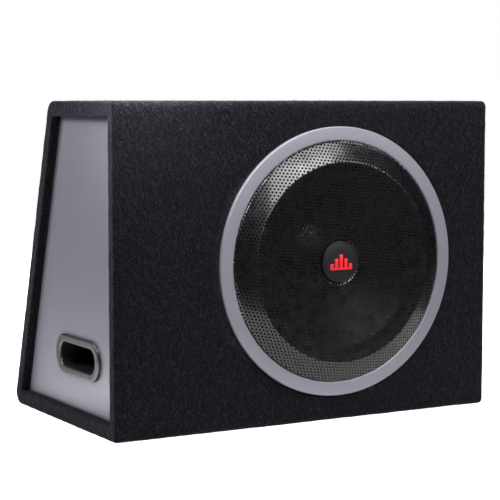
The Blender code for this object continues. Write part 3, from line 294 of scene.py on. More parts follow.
def turned(name, profile, look, body="enclosure", nodes=(), steps=None, sharp=38, closed=True):
    """A closed (radius, depth) profile turned about the driver's axis."""
    steps = steps or sizes("subwoofer_driver").steps
    shell = Shell().grid(about_driver(np.asarray(profile), steps), closed_rows=closed, closed_columns=True)
    return add_piece(name, shell.mesh(name, sharp=sharp), look, body, nodes)


# ---------------------------------------------------------------- material code
def socket_name(key):
    """specular_ior_level becomes Specular IOR Level."""
    return key.replace("_", " ").title().replace("Ior", "IOR")


class Wiring:
    """A node tree and short calls that add nodes to it."""

    def __init__(self, tree):
        self.tree = tree

    def node(self, kind, settings=None, **inputs):
        """Adds a node. Inputs are values or other nodes' sockets, named as in feed."""
        made = self.tree.nodes.new(kind)
        for key, value in (settings or {}).items():
            setattr(made, key, value)
        for key, value in inputs.items():
            self.feed(made, key, value)
        return made

    def feed(self, node, key, value):
        """Sets an input, named with underscores or by its place (i0, i1 ...), or links a socket to it. A
        colour may be given without its alpha."""
        place = int(key[1:]) if key[0] == "i" and key[1:].isdigit() else socket_name(key)
        socket = node.inputs[place]
        if isinstance(value, bpy.types.NodeSocket):
            self.tree.links.new(value, socket)
        else:
            socket.default_value = (*value, 1) if socket.type == "RGBA" and len(value) == 3 else value


class Finish(Wiring):
    """A material whose shader has constants, and patterns on Object coordinates that can be put on it."""

    def __init__(self, name, **constants):
        self.material = bpy.data.materials.new(name)
        self.material.use_nodes = True
        super().__init__(self.material.node_tree)
        self.shader = self.tree.nodes["Principled BSDF"]
        for key, value in constants.items():
            self.feed(self.shader, key, value)
        self.place = self.node("ShaderNodeTexCoord").outputs["Object"]

    def stretched(self, scale, turn=(0, 0, 0)):
        """Object coordinates scaled by (x, y, z) and turned."""
        return self.node("ShaderNodeMapping", Vector=self.place, Rotation=turn, Scale=scale).outputs[0]

    def noise(self, scale, detail=2.0, roughness=0.5, vector=None, distortion=0.0):
        """A noise from 0 to 1, of features about 1/scale metres wide."""
        made = self.node("ShaderNodeTexNoise", Vector=vector or self.place, Scale=scale, Detail=detail,
                         Roughness=roughness, Distortion=distortion)
        return made.outputs["Fac"]

    def cells(self, scale, feature="F1", output="Distance", vector=None, randomness=1.0):
        """A pattern of cells about 1/scale metres wide."""
        made = self.node("ShaderNodeTexVoronoi", {"feature": feature}, Vector=vector or self.place,
                         Scale=scale, Randomness=randomness)
        return made.outputs[output]

    def ramp(self, factor, *stops):
        """A smooth step through (position, value or colour) stops."""
        made = self.node("ShaderNodeValToRGB", Fac=factor)
        line = made.color_ramp
        while len(line.elements) < len(stops):
            line.elements.new(0.5)
        for element, (position, value) in zip(line.elements, stops):
            element.position = position
            element.color = (*value, 1) if isinstance(value, (tuple, list)) else (value, value, value, 1)
        return made.outputs["Color"]

    def remap(self, factor, low, high, to_low, to_high):
        """A value carried from one range to another, and held inside it."""
        made = self.node("ShaderNodeMapRange", Value=factor, i1=low, i2=high, i3=to_low, i4=to_high)
        return made.outputs[0]

    def sum(self, a, b, operation="ADD"):
        """Two values put together."""
        return self.node("ShaderNodeMath", {"operation": operation}, i0=a, i1=b).outputs[0]

    def blend(self, factor, a, b):
        """Colour a where factor is 0 and b where it is 1."""
        return self.node("ShaderNodeMix", {"data_type": "RGBA"}, i0=factor, i6=a, i7=b).outputs[2]

    def absolute(self, a):
        """The value without its sign."""
        return self.node("ShaderNodeMath", {"operation": "ABSOLUTE"}, i0=a).outputs[0]

    def bands(self, direction, pitch):
        """Soft bands across a direction, two pitches from one to the next."""
        return self.node("ShaderNodeTexWave", {"wave_type": "BANDS", "bands_direction": direction},
                         Vector=self.place, Scale=1 / pitch / 2, Distortion=0.5).outputs["Fac"]

    def brighter(self, colour, factor):
        """A colour times a factor that varies."""
        return self.node("ShaderNodeVectorMath", {"operation": "SCALE"}, i0=colour, i3=factor).outputs[0]

    def uneven(self, scale, low, high, detail=4, roughness=0.6):
        """A noise carried from its middle part to a range."""
        return self.remap(self.noise(scale, detail, roughness), 0.3, 0.7, low, high)

    def colour(self, socket):
        self.feed(self.shader, "base_color", socket)

    def rough(self, socket):
        self.feed(self.shader, "roughness", socket)

    def relief(self, *layers):
        """Bump from (height, distance in metres) layers, one on another."""
        normal = None
        for height, distance in layers:
            bump = self.node("ShaderNodeBump", Height=height, Distance=distance, Strength=1.0)
            if normal is not None:
                self.tree.links.new(normal, bump.inputs["Normal"])
            normal = bump.outputs[0]
        self.feed(self.shader, "normal", normal)


def scaled(colour, factor):
    return tuple(min(1.0, c * factor) for c in colour)


LOOKS = {}


def look(name):
    """The finished material of a slot, made once."""
    if name not in LOOKS:
        maker, *given = MAKERS[name]
        LOOKS[name] = maker(name, *given).material
    return LOOKS[name]


def felt(name):
    """Needle-punched carpet: matted fibres lighter and darker, in clumps, with a dull sheen."""
    colour = tuple(sizes("subwoofer_box").colour)
    made = Finish(name, roughness=0.96, sheen_weight=0.15, sheen_roughness=0.40, specular_ior_level=0.10)
    made.shader.inputs["Sheen Tint"].default_value = (0.80, 0.82, 1.0, 1)
    fine = made.noise(900, 3, 0.65, made.stretched((1, 1, 1), (0.4, 0.2, 0.9)), 1.2)
    strands = made.noise(420, 3, 0.6, made.stretched((1, 1, 1), (0.3, 0.6, 0.2)), 0.8)
    clumps = made.noise(150, 3, 0.55)
    wear = made.noise(9, 2, 0.5)
    mixed = made.sum(made.sum(made.sum(fine, 0.30, "MULTIPLY"), made.sum(strands, 0.50, "MULTIPLY")),
                     made.sum(clumps, 0.20, "MULTIPLY"))
    body = made.ramp(mixed, (0.36, scaled(colour, 0.10)), (0.46, scaled(colour, 0.50)),
                     (0.53, scaled(colour, 1.5)), (0.63, scaled(colour, 6.5)))
    lint = made.remap(made.cells(260, output="Distance"), 0.0, 0.12, 1.0, 0.0)
    body = made.blend(made.sum(lint, 0.30, "MULTIPLY"), body, scaled(colour, 8.0))
    body = made.blend(made.remap(wear, 0.35, 0.65, 0.0, 0.22), body, scaled(colour, 1.5))
    # The wrap's two ends meet in a dark butt seam, across the bottom.
    place = made.node("ShaderNodeSeparateXYZ", i0=made.place)
    off = made.absolute(made.sum(place.outputs["Y"], -SEAM_Y))
    seam = made.sum(made.remap(off, 0.5 * MM, 1.3 * MM, 0.85, 0.0),
                    made.remap(place.outputs["Z"], 20 * MM, 28 * MM, 1.0, 0.0), "MULTIPLY")
    body = made.blend(seam, body, scaled(colour, 0.1))
    # Painted light: paler round the rims, partly from the felt stretched over the folds and partly as
    # painted sheen where the rims meet the light at a graze, and paler along the top edge as painted light
    # from overhead.
    rim = made.remap(made.absolute(place.outputs["X"]), HALF_WIDTH - 5 * MM, HALF_WIDTH - 1 * MM, 0.0, 0.7)
    top = made.remap(place.outputs["Z"], HEIGHT - 14 * MM, HEIGHT - 3 * MM, 0.0, 0.9)
    felt_stretch_and_painted_light = made.sum(made.sum(rim, top, "MAXIMUM"), 1.0)
    # The felt's colour is brightened by this painted sheen and overhead light.
    made.colour(made.brighter(body, felt_stretch_and_painted_light))
    made.relief((clumps, 1.6 * MM), (strands, 1.2 * MM), (fine, 0.4 * MM))
    return made


def loose_fibre(name):
    """Single fibres, lighter and darker one from the next."""
    colour = tuple(sizes("subwoofer_box").colour)
    made = Finish(name, roughness=0.8, sheen_weight=0.2, sheen_roughness=0.5, specular_ior_level=0.25)
    made.colour(made.ramp(made.noise(60, 3, 0.7), (0.30, scaled(colour, 2.0)), (0.5, scaled(colour, 5.0)),
                          (0.68, scaled(colour, 11.0))))
    return made


def satin_paint(name, colour, metallic=0.35, rough=0.42, peel=0.05 * MM, fleck=0.06):
    """Metallic paint: fine flecks, a slight orange peel and rubbed patches."""
    made = Finish(name, metallic=metallic, coat_weight=0.15, coat_roughness=0.45)
    flecks = made.noise(2600, 2, 0.7)
    cloud = made.noise(14, 3, 0.5)
    grain = made.remap(flecks, 0.3, 0.7, 1 - fleck, 1 + fleck)
    patch = made.remap(cloud, 0.3, 0.7, 0.985, 1.015)
    depth = made.sum(grain, patch, "MULTIPLY")
    made.colour(made.brighter(colour, depth))
    made.rough(made.uneven(60, rough - 0.035, rough + 0.035))
    made.relief((made.noise(620, 2, 0.5), peel), (flecks, 0.012 * MM))
    return made


def silver(name):
    return satin_paint(name, tuple(sizes("subwoofer_box").panel), 0.35, 0.40)


def ring_paint(name):
    return satin_paint(name, tuple(sizes("subwoofer_driver").ring), 0.35, 0.38)


def gloss_steel(name):
    """Gloss-painted perforated steel with a little dust."""
    colour = tuple(sizes("subwoofer_driver").gloss)
    made = Finish(name, metallic=0.0, coat_weight=0.6, coat_roughness=0.12, specular_ior_level=0.6)
    dust = made.noise(340, 5, 0.7)
    made.colour(made.ramp(dust, (0.42, scaled(colour, 0.8)), (0.62, scaled(colour, 1.25)),
                          (0.80, scaled(colour, 3.0))))
    made.rough(made.uneven(85, 0.22, 0.34))
    made.relief((made.noise(900, 2, 0.5), 0.02 * MM))
    return made


def moulded(name, colour=(0.022, 0.022, 0.024), rough=0.45, grain=0.05 * MM, scale=1400, metallic=0.0,
            shine=0.5):
    """Moulded plastic or rubber: a fine spark-eroded grain and a slight change of gloss."""
    made = Finish(name, metallic=metallic, specular_ior_level=shine)
    speck = made.noise(scale, 3, 0.6)
    made.colour(made.ramp(made.noise(40, 4, 0.6), (0.3, scaled(colour, 0.86)), (0.7, scaled(colour, 1.14))))
    made.rough(made.remap(speck, 0.3, 0.7, rough - 0.06, rough + 0.06))
    made.relief((speck, grain))
    return made


def brushed(name, colour, rough=0.3, streaks=(1, 1, 40), scale=90, metallic=1.0, depth=0.02 * MM):
    """Metal with drawn streaks, a few darker spots and uneven gloss."""
    made = Finish(name, metallic=metallic)
    lines = made.noise(scale, 3, 0.7, made.stretched(streaks))
    spots = made.noise(260, 5, 0.7)
    made.colour(made.blend(made.remap(spots, 0.55, 0.8, 0, 0.35),
                           made.ramp(lines, (0.3, scaled(colour, 0.85)), (0.7, scaled(colour, 1.1))),
                           scaled(colour, 0.55)))
    made.rough(made.remap(lines, 0.3, 0.7, rough - 0.08, rough + 0.1))
    made.relief((lines, depth))
    return made


def cloth(name, colour, pitch, rough=0.85):
    """A resin-dipped weave: two sets of threads across each other."""
    made = Finish(name, roughness=rough)
    weave = made.sum(made.bands("X", pitch), made.bands("Z", pitch), "MULTIPLY")
    made.colour(made.ramp(made.sum(weave, made.noise(200, 3), "MULTIPLY"), (0.05, scaled(colour, 0.5)),
                          (0.45, colour)))
    made.relief((weave, 0.2 * MM))
    return made


def fibreboard(name):
    """Medium density board: pressed wood fibres."""
    made = Finish(name, roughness=0.85)
    strands = made.noise(240, 5, 0.7, made.stretched((1, 1, 5)))
    made.colour(made.ramp(strands, (0.3, (0.27, 0.17, 0.09)), (0.5, (0.42, 0.28, 0.16)),
                          (0.7, (0.55, 0.39, 0.24))))
    made.relief((strands, 0.15 * MM))
    return made


def cone_plastic(name):
    """Injection-moulded cone: faint flow rings about the axis and a soft gloss."""
    made = Finish(name, specular_ior_level=0.55)
    centred = made.node("ShaderNodeMapping", Vector=made.place,
                        Location=(-DRIVER_X, -FRONT_Y, -DRIVER_Z)).outputs[0]
    rings = made.node("ShaderNodeTexWave", {"wave_type": "RINGS", "rings_direction": "Y"}, Vector=centred,
                      Scale=180, Distortion=0.3).outputs["Fac"]
    made.colour(made.ramp(made.noise(55, 4, 0.6), (0.3, (0.010, 0.010, 0.011)),
                          (0.7, (0.016, 0.016, 0.018))))
    made.rough(made.remap(made.noise(130, 3), 0.3, 0.7, 0.24, 0.36))
    made.relief((rings, 0.03 * MM))
    return made


def board_green(name):
    """Solder mask over copper tracks."""
    made = Finish(name, roughness=0.35, coat_weight=0.3)
    tracks = made.cells(110, output="Distance", vector=made.stretched((1, 1, 1)), randomness=0.35)
    made.colour(made.ramp(tracks, (0.20, (0.020, 0.11, 0.045)), (0.34, (0.035, 0.19, 0.08)),
                          (0.40, (0.020, 0.11, 0.045))))
    made.relief((tracks, 0.05 * MM))
    return made


def red_inlay(name):
    """Glossy red enamel with a slight depth of tone."""
    colour = tuple(sizes("subwoofer_driver").mark)
    made = Finish(name, coat_weight=0.4, coat_roughness=0.1)
    made.colour(made.ramp(made.noise(500, 3, 0.6), (0.3, scaled(colour, 0.93)), (0.7, scaled(colour, 1.04))))
    made.rough(made.remap(made.noise(260, 3), 0.3, 0.7, 0.3, 0.42))
    return made


def see_through(name, colour, rough=0.15):
    """Coloured transparent plastic."""
    made = Finish(name, transmission_weight=0.55, ior=1.49)
    made.colour(made.ramp(made.noise(300, 3), (0.3, scaled(colour, 0.9)), (0.7, colour)))
    made.rough(made.remap(made.noise(400, 3), 0.3, 0.7, rough, rough + 0.1))
    return made


def ink(name):
    """Screen-printed ink, slightly broken up by the powder coat under it."""
    colour = tuple(sizes("subwoofer_amplifier").ink)
    made = Finish(name, roughness=0.6)
    made.colour(made.ramp(made.noise(1800, 3, 0.7), (0.32, scaled(colour, 0.6)), (0.5, colour)))
    made.relief((made.noise(1500, 2), 0.02 * MM))
    return made


def knob_plastic(name):
    return moulded(name, tuple(sizes("subwoofer_amplifier").knob_colour), 0.4, 0.03 * MM, 1800)


# Each finish: the function that makes it, and what that is given after the name.
MAKERS = {
    "charcoal_carpet": (felt,),
    "loose_fibre": (loose_fibre,),
    "fibreboard": (fibreboard,),
    "silver_paint": (silver,),
    "ring_paint": (ring_paint,),
    "bezel_satin": (brushed, (0.145, 0.145, 0.155), 0.30, (1, 14, 1), 60, 0.85),
    "black_steel": (gloss_steel,),
    "basket_steel": (moulded, (0.02, 0.02, 0.022), 0.4, 0.03 * MM, 700),
    "black_plastic": (moulded,),
    "port_plastic": (moulded, (0.010, 0.010, 0.011), 0.5, 0.08 * MM, 900),
    "cone_polypropylene": (cone_plastic,),
    "surround_rubber": (moulded, (0.018, 0.018, 0.019), 0.58, 0.03 * MM, 1100),
    "foam_gasket": (moulded, (0.05, 0.05, 0.052), 0.95, 0.4 * MM, 900),
    "spider_cloth": (cloth, (0.55, 0.38, 0.15), 0.8 * MM),
    "former_paper": (cloth, (0.50, 0.36, 0.20), 0.5 * MM, 0.6),
    "copper_wire": (brushed, (0.78, 0.36, 0.17), 0.28, (1, 60, 1), 60),
    "zinc_steel": (brushed, (0.58, 0.58, 0.60), 0.30, (1, 1, 3), 160),
    "ferrite": (moulded, (0.045, 0.045, 0.05), 0.6, 0.1 * MM, 600),
    "badge_plastic": (moulded, (0.0115, 0.011, 0.014), 0.50, 0.015 * MM, 900, 0.0, 0.25),
    "red_inlay": (red_inlay,),
    "amplifier_powder_coat": (moulded, (0.024, 0.024, 0.027), 0.55, 0.14 * MM, 620),
    "circuit_board": (board_green,),
    "connector_white": (moulded, (0.72, 0.70, 0.64), 0.42, 0.03 * MM),
    "fuse_amber": (see_through, (0.95, 0.40, 0.03)),
    "led_lens": (see_through, (0.75, 0.03, 0.02), 0.06),
    "wire_insulation": (moulded, (0.42, 0.02, 0.02), 0.42, 0.02 * MM),
    "knob_plastic": (knob_plastic,),
    "screw_black": (brushed, (0.035, 0.035, 0.038), 0.38, (1, 1, 1), 700, 0.6),
    "socket_red": (moulded, (0.50, 0.015, 0.015), 0.4, 0.02 * MM),
    "gold_plate": (brushed, (0.95, 0.68, 0.25), 0.22, (1, 1, 1), 500),
    "scale_ink": (ink,),
}


# ---------------------------------------------------------------- the carpeted box
def box_section(front, around, rounds, cell, counts=None, arc_steps=8):
    """The box's end view as a closed line in (y, z): straight sides joined by arcs, the front moved in by
    one distance and the other sides by another. Returns the points and where each side and arc starts."""
    data = sizes("subwoofer_box")
    slant = math.atan2(data.depth - data.depth_top, HEIGHT)
    low, high = around, HEIGHT - around

    def rear(z):
        return FRONT_Y + data.depth - z * math.tan(slant) - around / math.cos(slant)

    corners = np.array([(FRONT_Y + front, low), (FRONT_Y + front, high),
                        (rear(high), high), (rear(low), low)])
    made, marks = [], []
    for i, radius in enumerate(rounds):
        corner, before, after = corners[i], corners[i - 1], corners[(i + 1) % 4]
        back = (before - corner) / np.linalg.norm(before - corner)
        on = (after - corner) / np.linalg.norm(after - corner)
        half = math.acos(float(back @ on)) / 2
        centre = corner + (back + on) / np.linalg.norm(back + on) * radius / math.sin(half)
        reach = radius / math.tan(half)
        first, last = corner + back * reach - centre, corner + on * reach - centre
        swing = np.linspace(0, 1, arc_steps)[:, None]
        spread = math.pi - 2 * half
        bend = (np.sin((1 - swing) * spread) * first + np.sin(swing * spread) * last) / math.sin(spread)
        made.append(centre + bend)
    line = []
    for i in range(4):
        marks.append(sum(len(part) for part in line))
        line.append(made[i][:-1])
        marks.append(sum(len(part) for part in line))
        start, end = made[i][-1], made[(i + 1) % 4][0]
        if counts is None:
            count = max(1, round(float(np.linalg.norm(end - start)) / cell))
        else:
            count = counts[i]
        line.append(start + (np.arange(count) / count)[:, None] * (end - start))
    return np.concatenate(line), marks


def rim_profile(data):
    """(x, inset share) from the foot of the left recess over the rim to the first point of the long sides.
    The share is 1 at the recess and 0 on the outside; both edges are quarter circles."""
    outer, inner, rim = data.rim_round, data.fold_round, data.rim
    wall = np.stack([np.linspace(-PANEL_X, -HALF_WIDTH + inner, 4)[:-1], np.ones(3)], 1)
    turn = np.radians(np.linspace(0, 90, 6))
    fold = np.stack([-HALF_WIDTH + inner * (1 - np.sin(turn)), 1 - inner / rim * (1 - np.cos(turn))], 1)
    face = np.linspace(fold[-1, 1], outer / rim, 6)[1:-1]
    flat = np.stack([np.full(len(face), -HALF_WIDTH), face], 1)
    edge = np.stack([-HALF_WIDTH + outer * (1 - np.cos(turn)), outer / rim * (1 - np.sin(turn))], 1)
    return np.concatenate([wall, fold, flat, edge])


def lumps(points, seed, scale, waves=40):
    """A soft random height for each point: the mean of sine waves of seeded directions and phases."""
    random = np.random.default_rng(seed)
    direction = random.normal(size=(waves, 3))
    direction /= np.linalg.norm(direction, axis=1, keepdims=True)
    number = TURN / scale * random.uniform(0.6, 1.6, waves)
    phase = random.uniform(0, TURN, waves)
    return np.sin(points @ (direction * number[:, None]).T + phase).sum(1) / math.sqrt(waves)


class SUBWOOFER_OT_carpet(bpy.types.Operator):
    """Builds the felt carpet over the box, folded over both rims, and the loose fibres on it"""
    bl_idname = "subwoofer.carpet"
    bl_label = "Carpet"

    def execute(self, context):
        data = sizes("subwoofer_box")
        outer_rounds = (5 * MM, 7 * MM, 15 * MM, 12.8 * MM)
        inner_rounds = (1.2 * MM,) * 4
        outer, marks = box_section(0, 0, outer_rounds, data.cell)
        counts = [marks[i + 1] - marks[i] for i in (1, 3, 5)] + [len(outer) - marks[7]]
        inner, _ = box_section(data.front_rim, data.rim, inner_rounds, data.cell, counts=counts)
        left = rim_profile(data)
        across = round(2 * (HALF_WIDTH - data.rim_round) / data.cell)
        middle = np.linspace(left[-1, 0], -left[-1, 0], across + 1)[1:-1]
        long = np.stack([middle, np.zeros(len(middle))], 1)
        profile = np.concatenate([left, long, left[::-1] * (-1, 1)])
        x, inset = profile[:, 0][:, None], profile[:, 1][:, None, None]
        section = outer[None] * (1 - inset) + inner[None] * inset
        skin = np.concatenate([np.broadcast_to(x[:, :, None], (*section.shape[:2], 1)), section], 2)

        # The flat of the front is left out, and filled by rays from the round opening to its edge.
        first, last = len(left) - 1, len(left) + len(middle)
        low, high = marks[1], marks[2]
        shell = Shell()
        rows, columns = skin.shape[:2]
        quads = grid_faces(rows, columns, 0, False, True)
        row, column = np.divmod(quads[:, 0], columns)
        front = (row >= first) & (row < last) & (column >= low) & (column < high)
        shell.loose(skin, quads[~front])
        edge = np.concatenate([skin[first:last, low], skin[last, low:high], skin[last:first:-1, high],
                               skin[first, high:low:-1]])
        angle = np.arctan2(edge[:, 2] - DRIVER_Z, edge[:, 0] - DRIVER_X)
        round_edge = np.stack([DRIVER_X + data.hole * np.cos(angle), np.full(len(edge), FRONT_Y),
                               DRIVER_Z + data.hole * np.sin(angle)], 1)
        share_out = np.linspace(0, 1, 11)[:, None, None]
        shell.grid(round_edge * (1 - share_out) + edge * share_out, closed_columns=True)
        mesh = shell.mesh("carpet", weld=20e-6, recalculate=True, sharp=70)
        self.even_out(mesh, data)
        obj = add_piece("carpet", mesh, look("charcoal_carpet"), nodes=("carpet_wrap", "carpet_base"))
        felt_sheet = obj.modifiers.new("felt", "SOLIDIFY")
        felt_sheet.thickness = data.cloth
        felt_sheet.offset = -1
        felt_sheet.use_rim = True
        self.fibres(mesh, data)
        return {"FINISHED"}

    def even_out(self, mesh, data):
        """Turns the faces outwards and moves each point along its normal by a fraction of a millimetre."""
        points = points_of(mesh)
        normals = np.empty(points.size, np.float32)
        mesh.vertex_normals.foreach_get("vector", normals)
        normals = normals.reshape(-1, 3)
        if ((points - points.mean(0)) * normals).sum() < 0:
            mesh.flip_normals()
            normals = -normals
        height = (0.16 * MM * lumps(points, data.seed, 22 * MM) +
                  0.10 * MM * lumps(points, data.seed + 1, 9 * MM))
        calm = np.clip((points[:, 1] - FRONT_Y) / (2 * MM), 0, 1) * 0.6 + 0.4
        height = height * calm
        moved = points + normals * height[:, None]
        # The foot of each recess stays on its silver panel, and the base on the surface it stands on.
        foot = np.abs(np.abs(points[:, 0]) - PANEL_X) < 0.1 * MM
        moved[foot] = points[foot]
        moved[:, 2] = np.where(points[:, 2] < 0.1 * MM, np.maximum(moved[:, 2], 0), moved[:, 2])
        mesh.vertices.foreach_set("co", moved.ravel())
        mesh.update()

    def fibres(self, mesh, data):
        """Thin three-sided spikes, each from a point of the felt along its normal turned at random. More of
        them stand on the rounded edges, where the felt is rubbed."""
        if not data.fibres:
            return
        random = np.random.default_rng(data.seed + 2)
        mesh.calc_loop_triangles()
        corner = np.empty(len(mesh.loop_triangles) * 3, np.int32)
        mesh.loop_triangles.foreach_get("vertices", corner)
        corner = corner.reshape(-1, 3)
        points = points_of(mesh)
        a, b, c = points[corner[:, 0]], points[corner[:, 1]], points[corner[:, 2]]
        cross = np.cross(b - a, c - a)
        area = np.linalg.norm(cross, axis=1) / 2
        normal = cross / np.maximum(2 * area, 1e-12)[:, None]
        middle = (a + b + c) / 3
        flat = np.abs(normal).max(1) > 0.999
        slant = (normal[:, 1] > 0.9)
        on_edge = ~(flat | slant)
        near_end = np.abs(middle[:, 0]) > PANEL_X + 1 * MM
        weight = area * (1 + 9.0 * on_edge + 2.0 * near_end)
        weight[(middle[:, 2] < 2 * MM) | (np.abs(middle[:, 0]) < PANEL_X + 1 * MM) & near_end] = 0
        far = np.hypot(middle[:, 0] - DRIVER_X, middle[:, 2] - DRIVER_Z) < CLEAR_R
        weight[far & (middle[:, 1] < FRONT_Y + MM)] = 0
        chosen = random.choice(len(weight), data.fibres, p=weight / weight.sum())
        u, v = random.uniform(size=(2, data.fibres))
        u, v = np.where(u + v > 1, 1 - u, u), np.where(u + v > 1, 1 - v, v)
        root = a[chosen] + u[:, None] * (b - a)[chosen] + v[:, None] * (c - a)[chosen]
        way = normal[chosen] * random.uniform(0.25, 0.9, (data.fibres, 1)) + \
            random.normal(size=(data.fibres, 3)) * 0.55
        way -= normal[chosen] * np.minimum((way * normal[chosen]).sum(1) - 0.15, 0)[:, None]
        way /= np.linalg.norm(way, axis=1, keepdims=True)
        tall = random.uniform(0.9, 2.7, data.fibres) * MM
        thick = random.uniform(0.055, 0.10, data.fibres) * MM
        side = np.cross(way, random.normal(size=(data.fibres, 3)))
        side /= np.linalg.norm(side, axis=1, keepdims=True)
        other = np.cross(way, side)
        root = root - normal[chosen] * 0.3 * MM
        turn = TURN / 3 * np.arange(3)
        foot = (root[:, None] + thick[:, None, None] *
                (np.cos(turn)[:, None] * side[:, None] + np.sin(turn)[:, None] * other[:, None]))
        tip = (root + way * tall[:, None])[:, None]
        corners = np.concatenate([foot, tip], 1)
        corners[..., 2] = np.maximum(corners[..., 2], 0.05 * MM)
        base = 4 * np.arange(data.fibres)[:, None, None]
        faces = base + np.array([[0, 2, 1], [0, 1, 3], [1, 2, 3], [2, 0, 3]])
        hair = Shell().loose(corners.reshape(-1, 3), faces.reshape(-1, 3))
        fibre_mesh = hair.mesh("carpet_fibres", weld=0, recalculate=False, sharp=180)
        add_piece("carpet_fibres", fibre_mesh, look("loose_fibre"))


# ---------------------------------------------------------------- the driver's front
# Radius up to which the grille has holes, and radius kept clear of loose fibres round the driver.
OPEN_R = 141.5 * MM
CLEAR_R = 160 * MM


def grille_profile(data):
    """Middle line of the sheet, from the centre outwards, as (radius, depth): a flat seat under the badge, a
    shallow bowl whose depth grows with the square of the radius, a crease, a cone that swells a little, a
    short upright step and a flat rim."""
    low, high = box("grille")
    rim_r = (high[0] - low[0]) / 2
    rim_depth = high[1] - FRONT_Y - data.sheet / 2
    crest_r, base_r, crest = 117 * MM, 140 * MM, low[1] - FRONT_Y + data.sheet / 2
    seat_r = BADGE_HIGH[0] - DRIVER_X + 0.5 * MM
    centre = 4.0 * MM
    radius = np.linspace(seat_r + 1.6 * MM, crest_r - 0.8 * MM, 60)
    bowl = np.stack([radius, -centre + (crest + centre) * (radius / crest_r) ** 2], 1)
    sunk = bowl[0, 1] + 1.3 * MM
    seat = np.array([(0, sunk), (seat_r * 0.5, sunk), (seat_r, sunk), (seat_r + 0.5 * MM, sunk - 0.15 * MM),
                     (seat_r + 1.25 * MM, bowl[0, 1] + 0.15 * MM)])
    foot = rim_depth - 2.2 * MM
    rise = np.linspace(1, 0.05, 30)
    shoulder = np.stack([base_r - (base_r - crest_r) * rise,
                         foot + (crest - foot) * rise * (1 + 0.15 * (1 - rise))], 1)
    step = np.array([(base_r - 0.35 * MM, foot - 0.1 * MM), (base_r, foot + 0.5 * MM),
                     (base_r + 0.1 * MM, rim_depth - 0.7 * MM), (base_r + 0.7 * MM, rim_depth)])
    return np.concatenate([seat, bowl, shoulder, step, [(rim_r, rim_depth)]])


def ring_between(corners, holes):
    """Triangles that fill the space between six corners and the points of a hole, walked by angle."""
    order = sorted([(a % TURN, 0, i) for i, a in enumerate(corners)] +
                   [(a % TURN, 1, i) for i, a in enumerate(holes)])
    at = [max(range(len(corners)), key=lambda i: corners[i] % TURN),
          max(range(len(holes)), key=lambda i: holes[i] % TURN)]
    made = []
    for _, kind, i in order:
        six = len(corners)
        if kind == 0:
            made.append((at[0], i, six + at[1]))
        else:
            made.append((six + at[1], at[0], six + i))
        at[kind] = i
    return np.array(made)


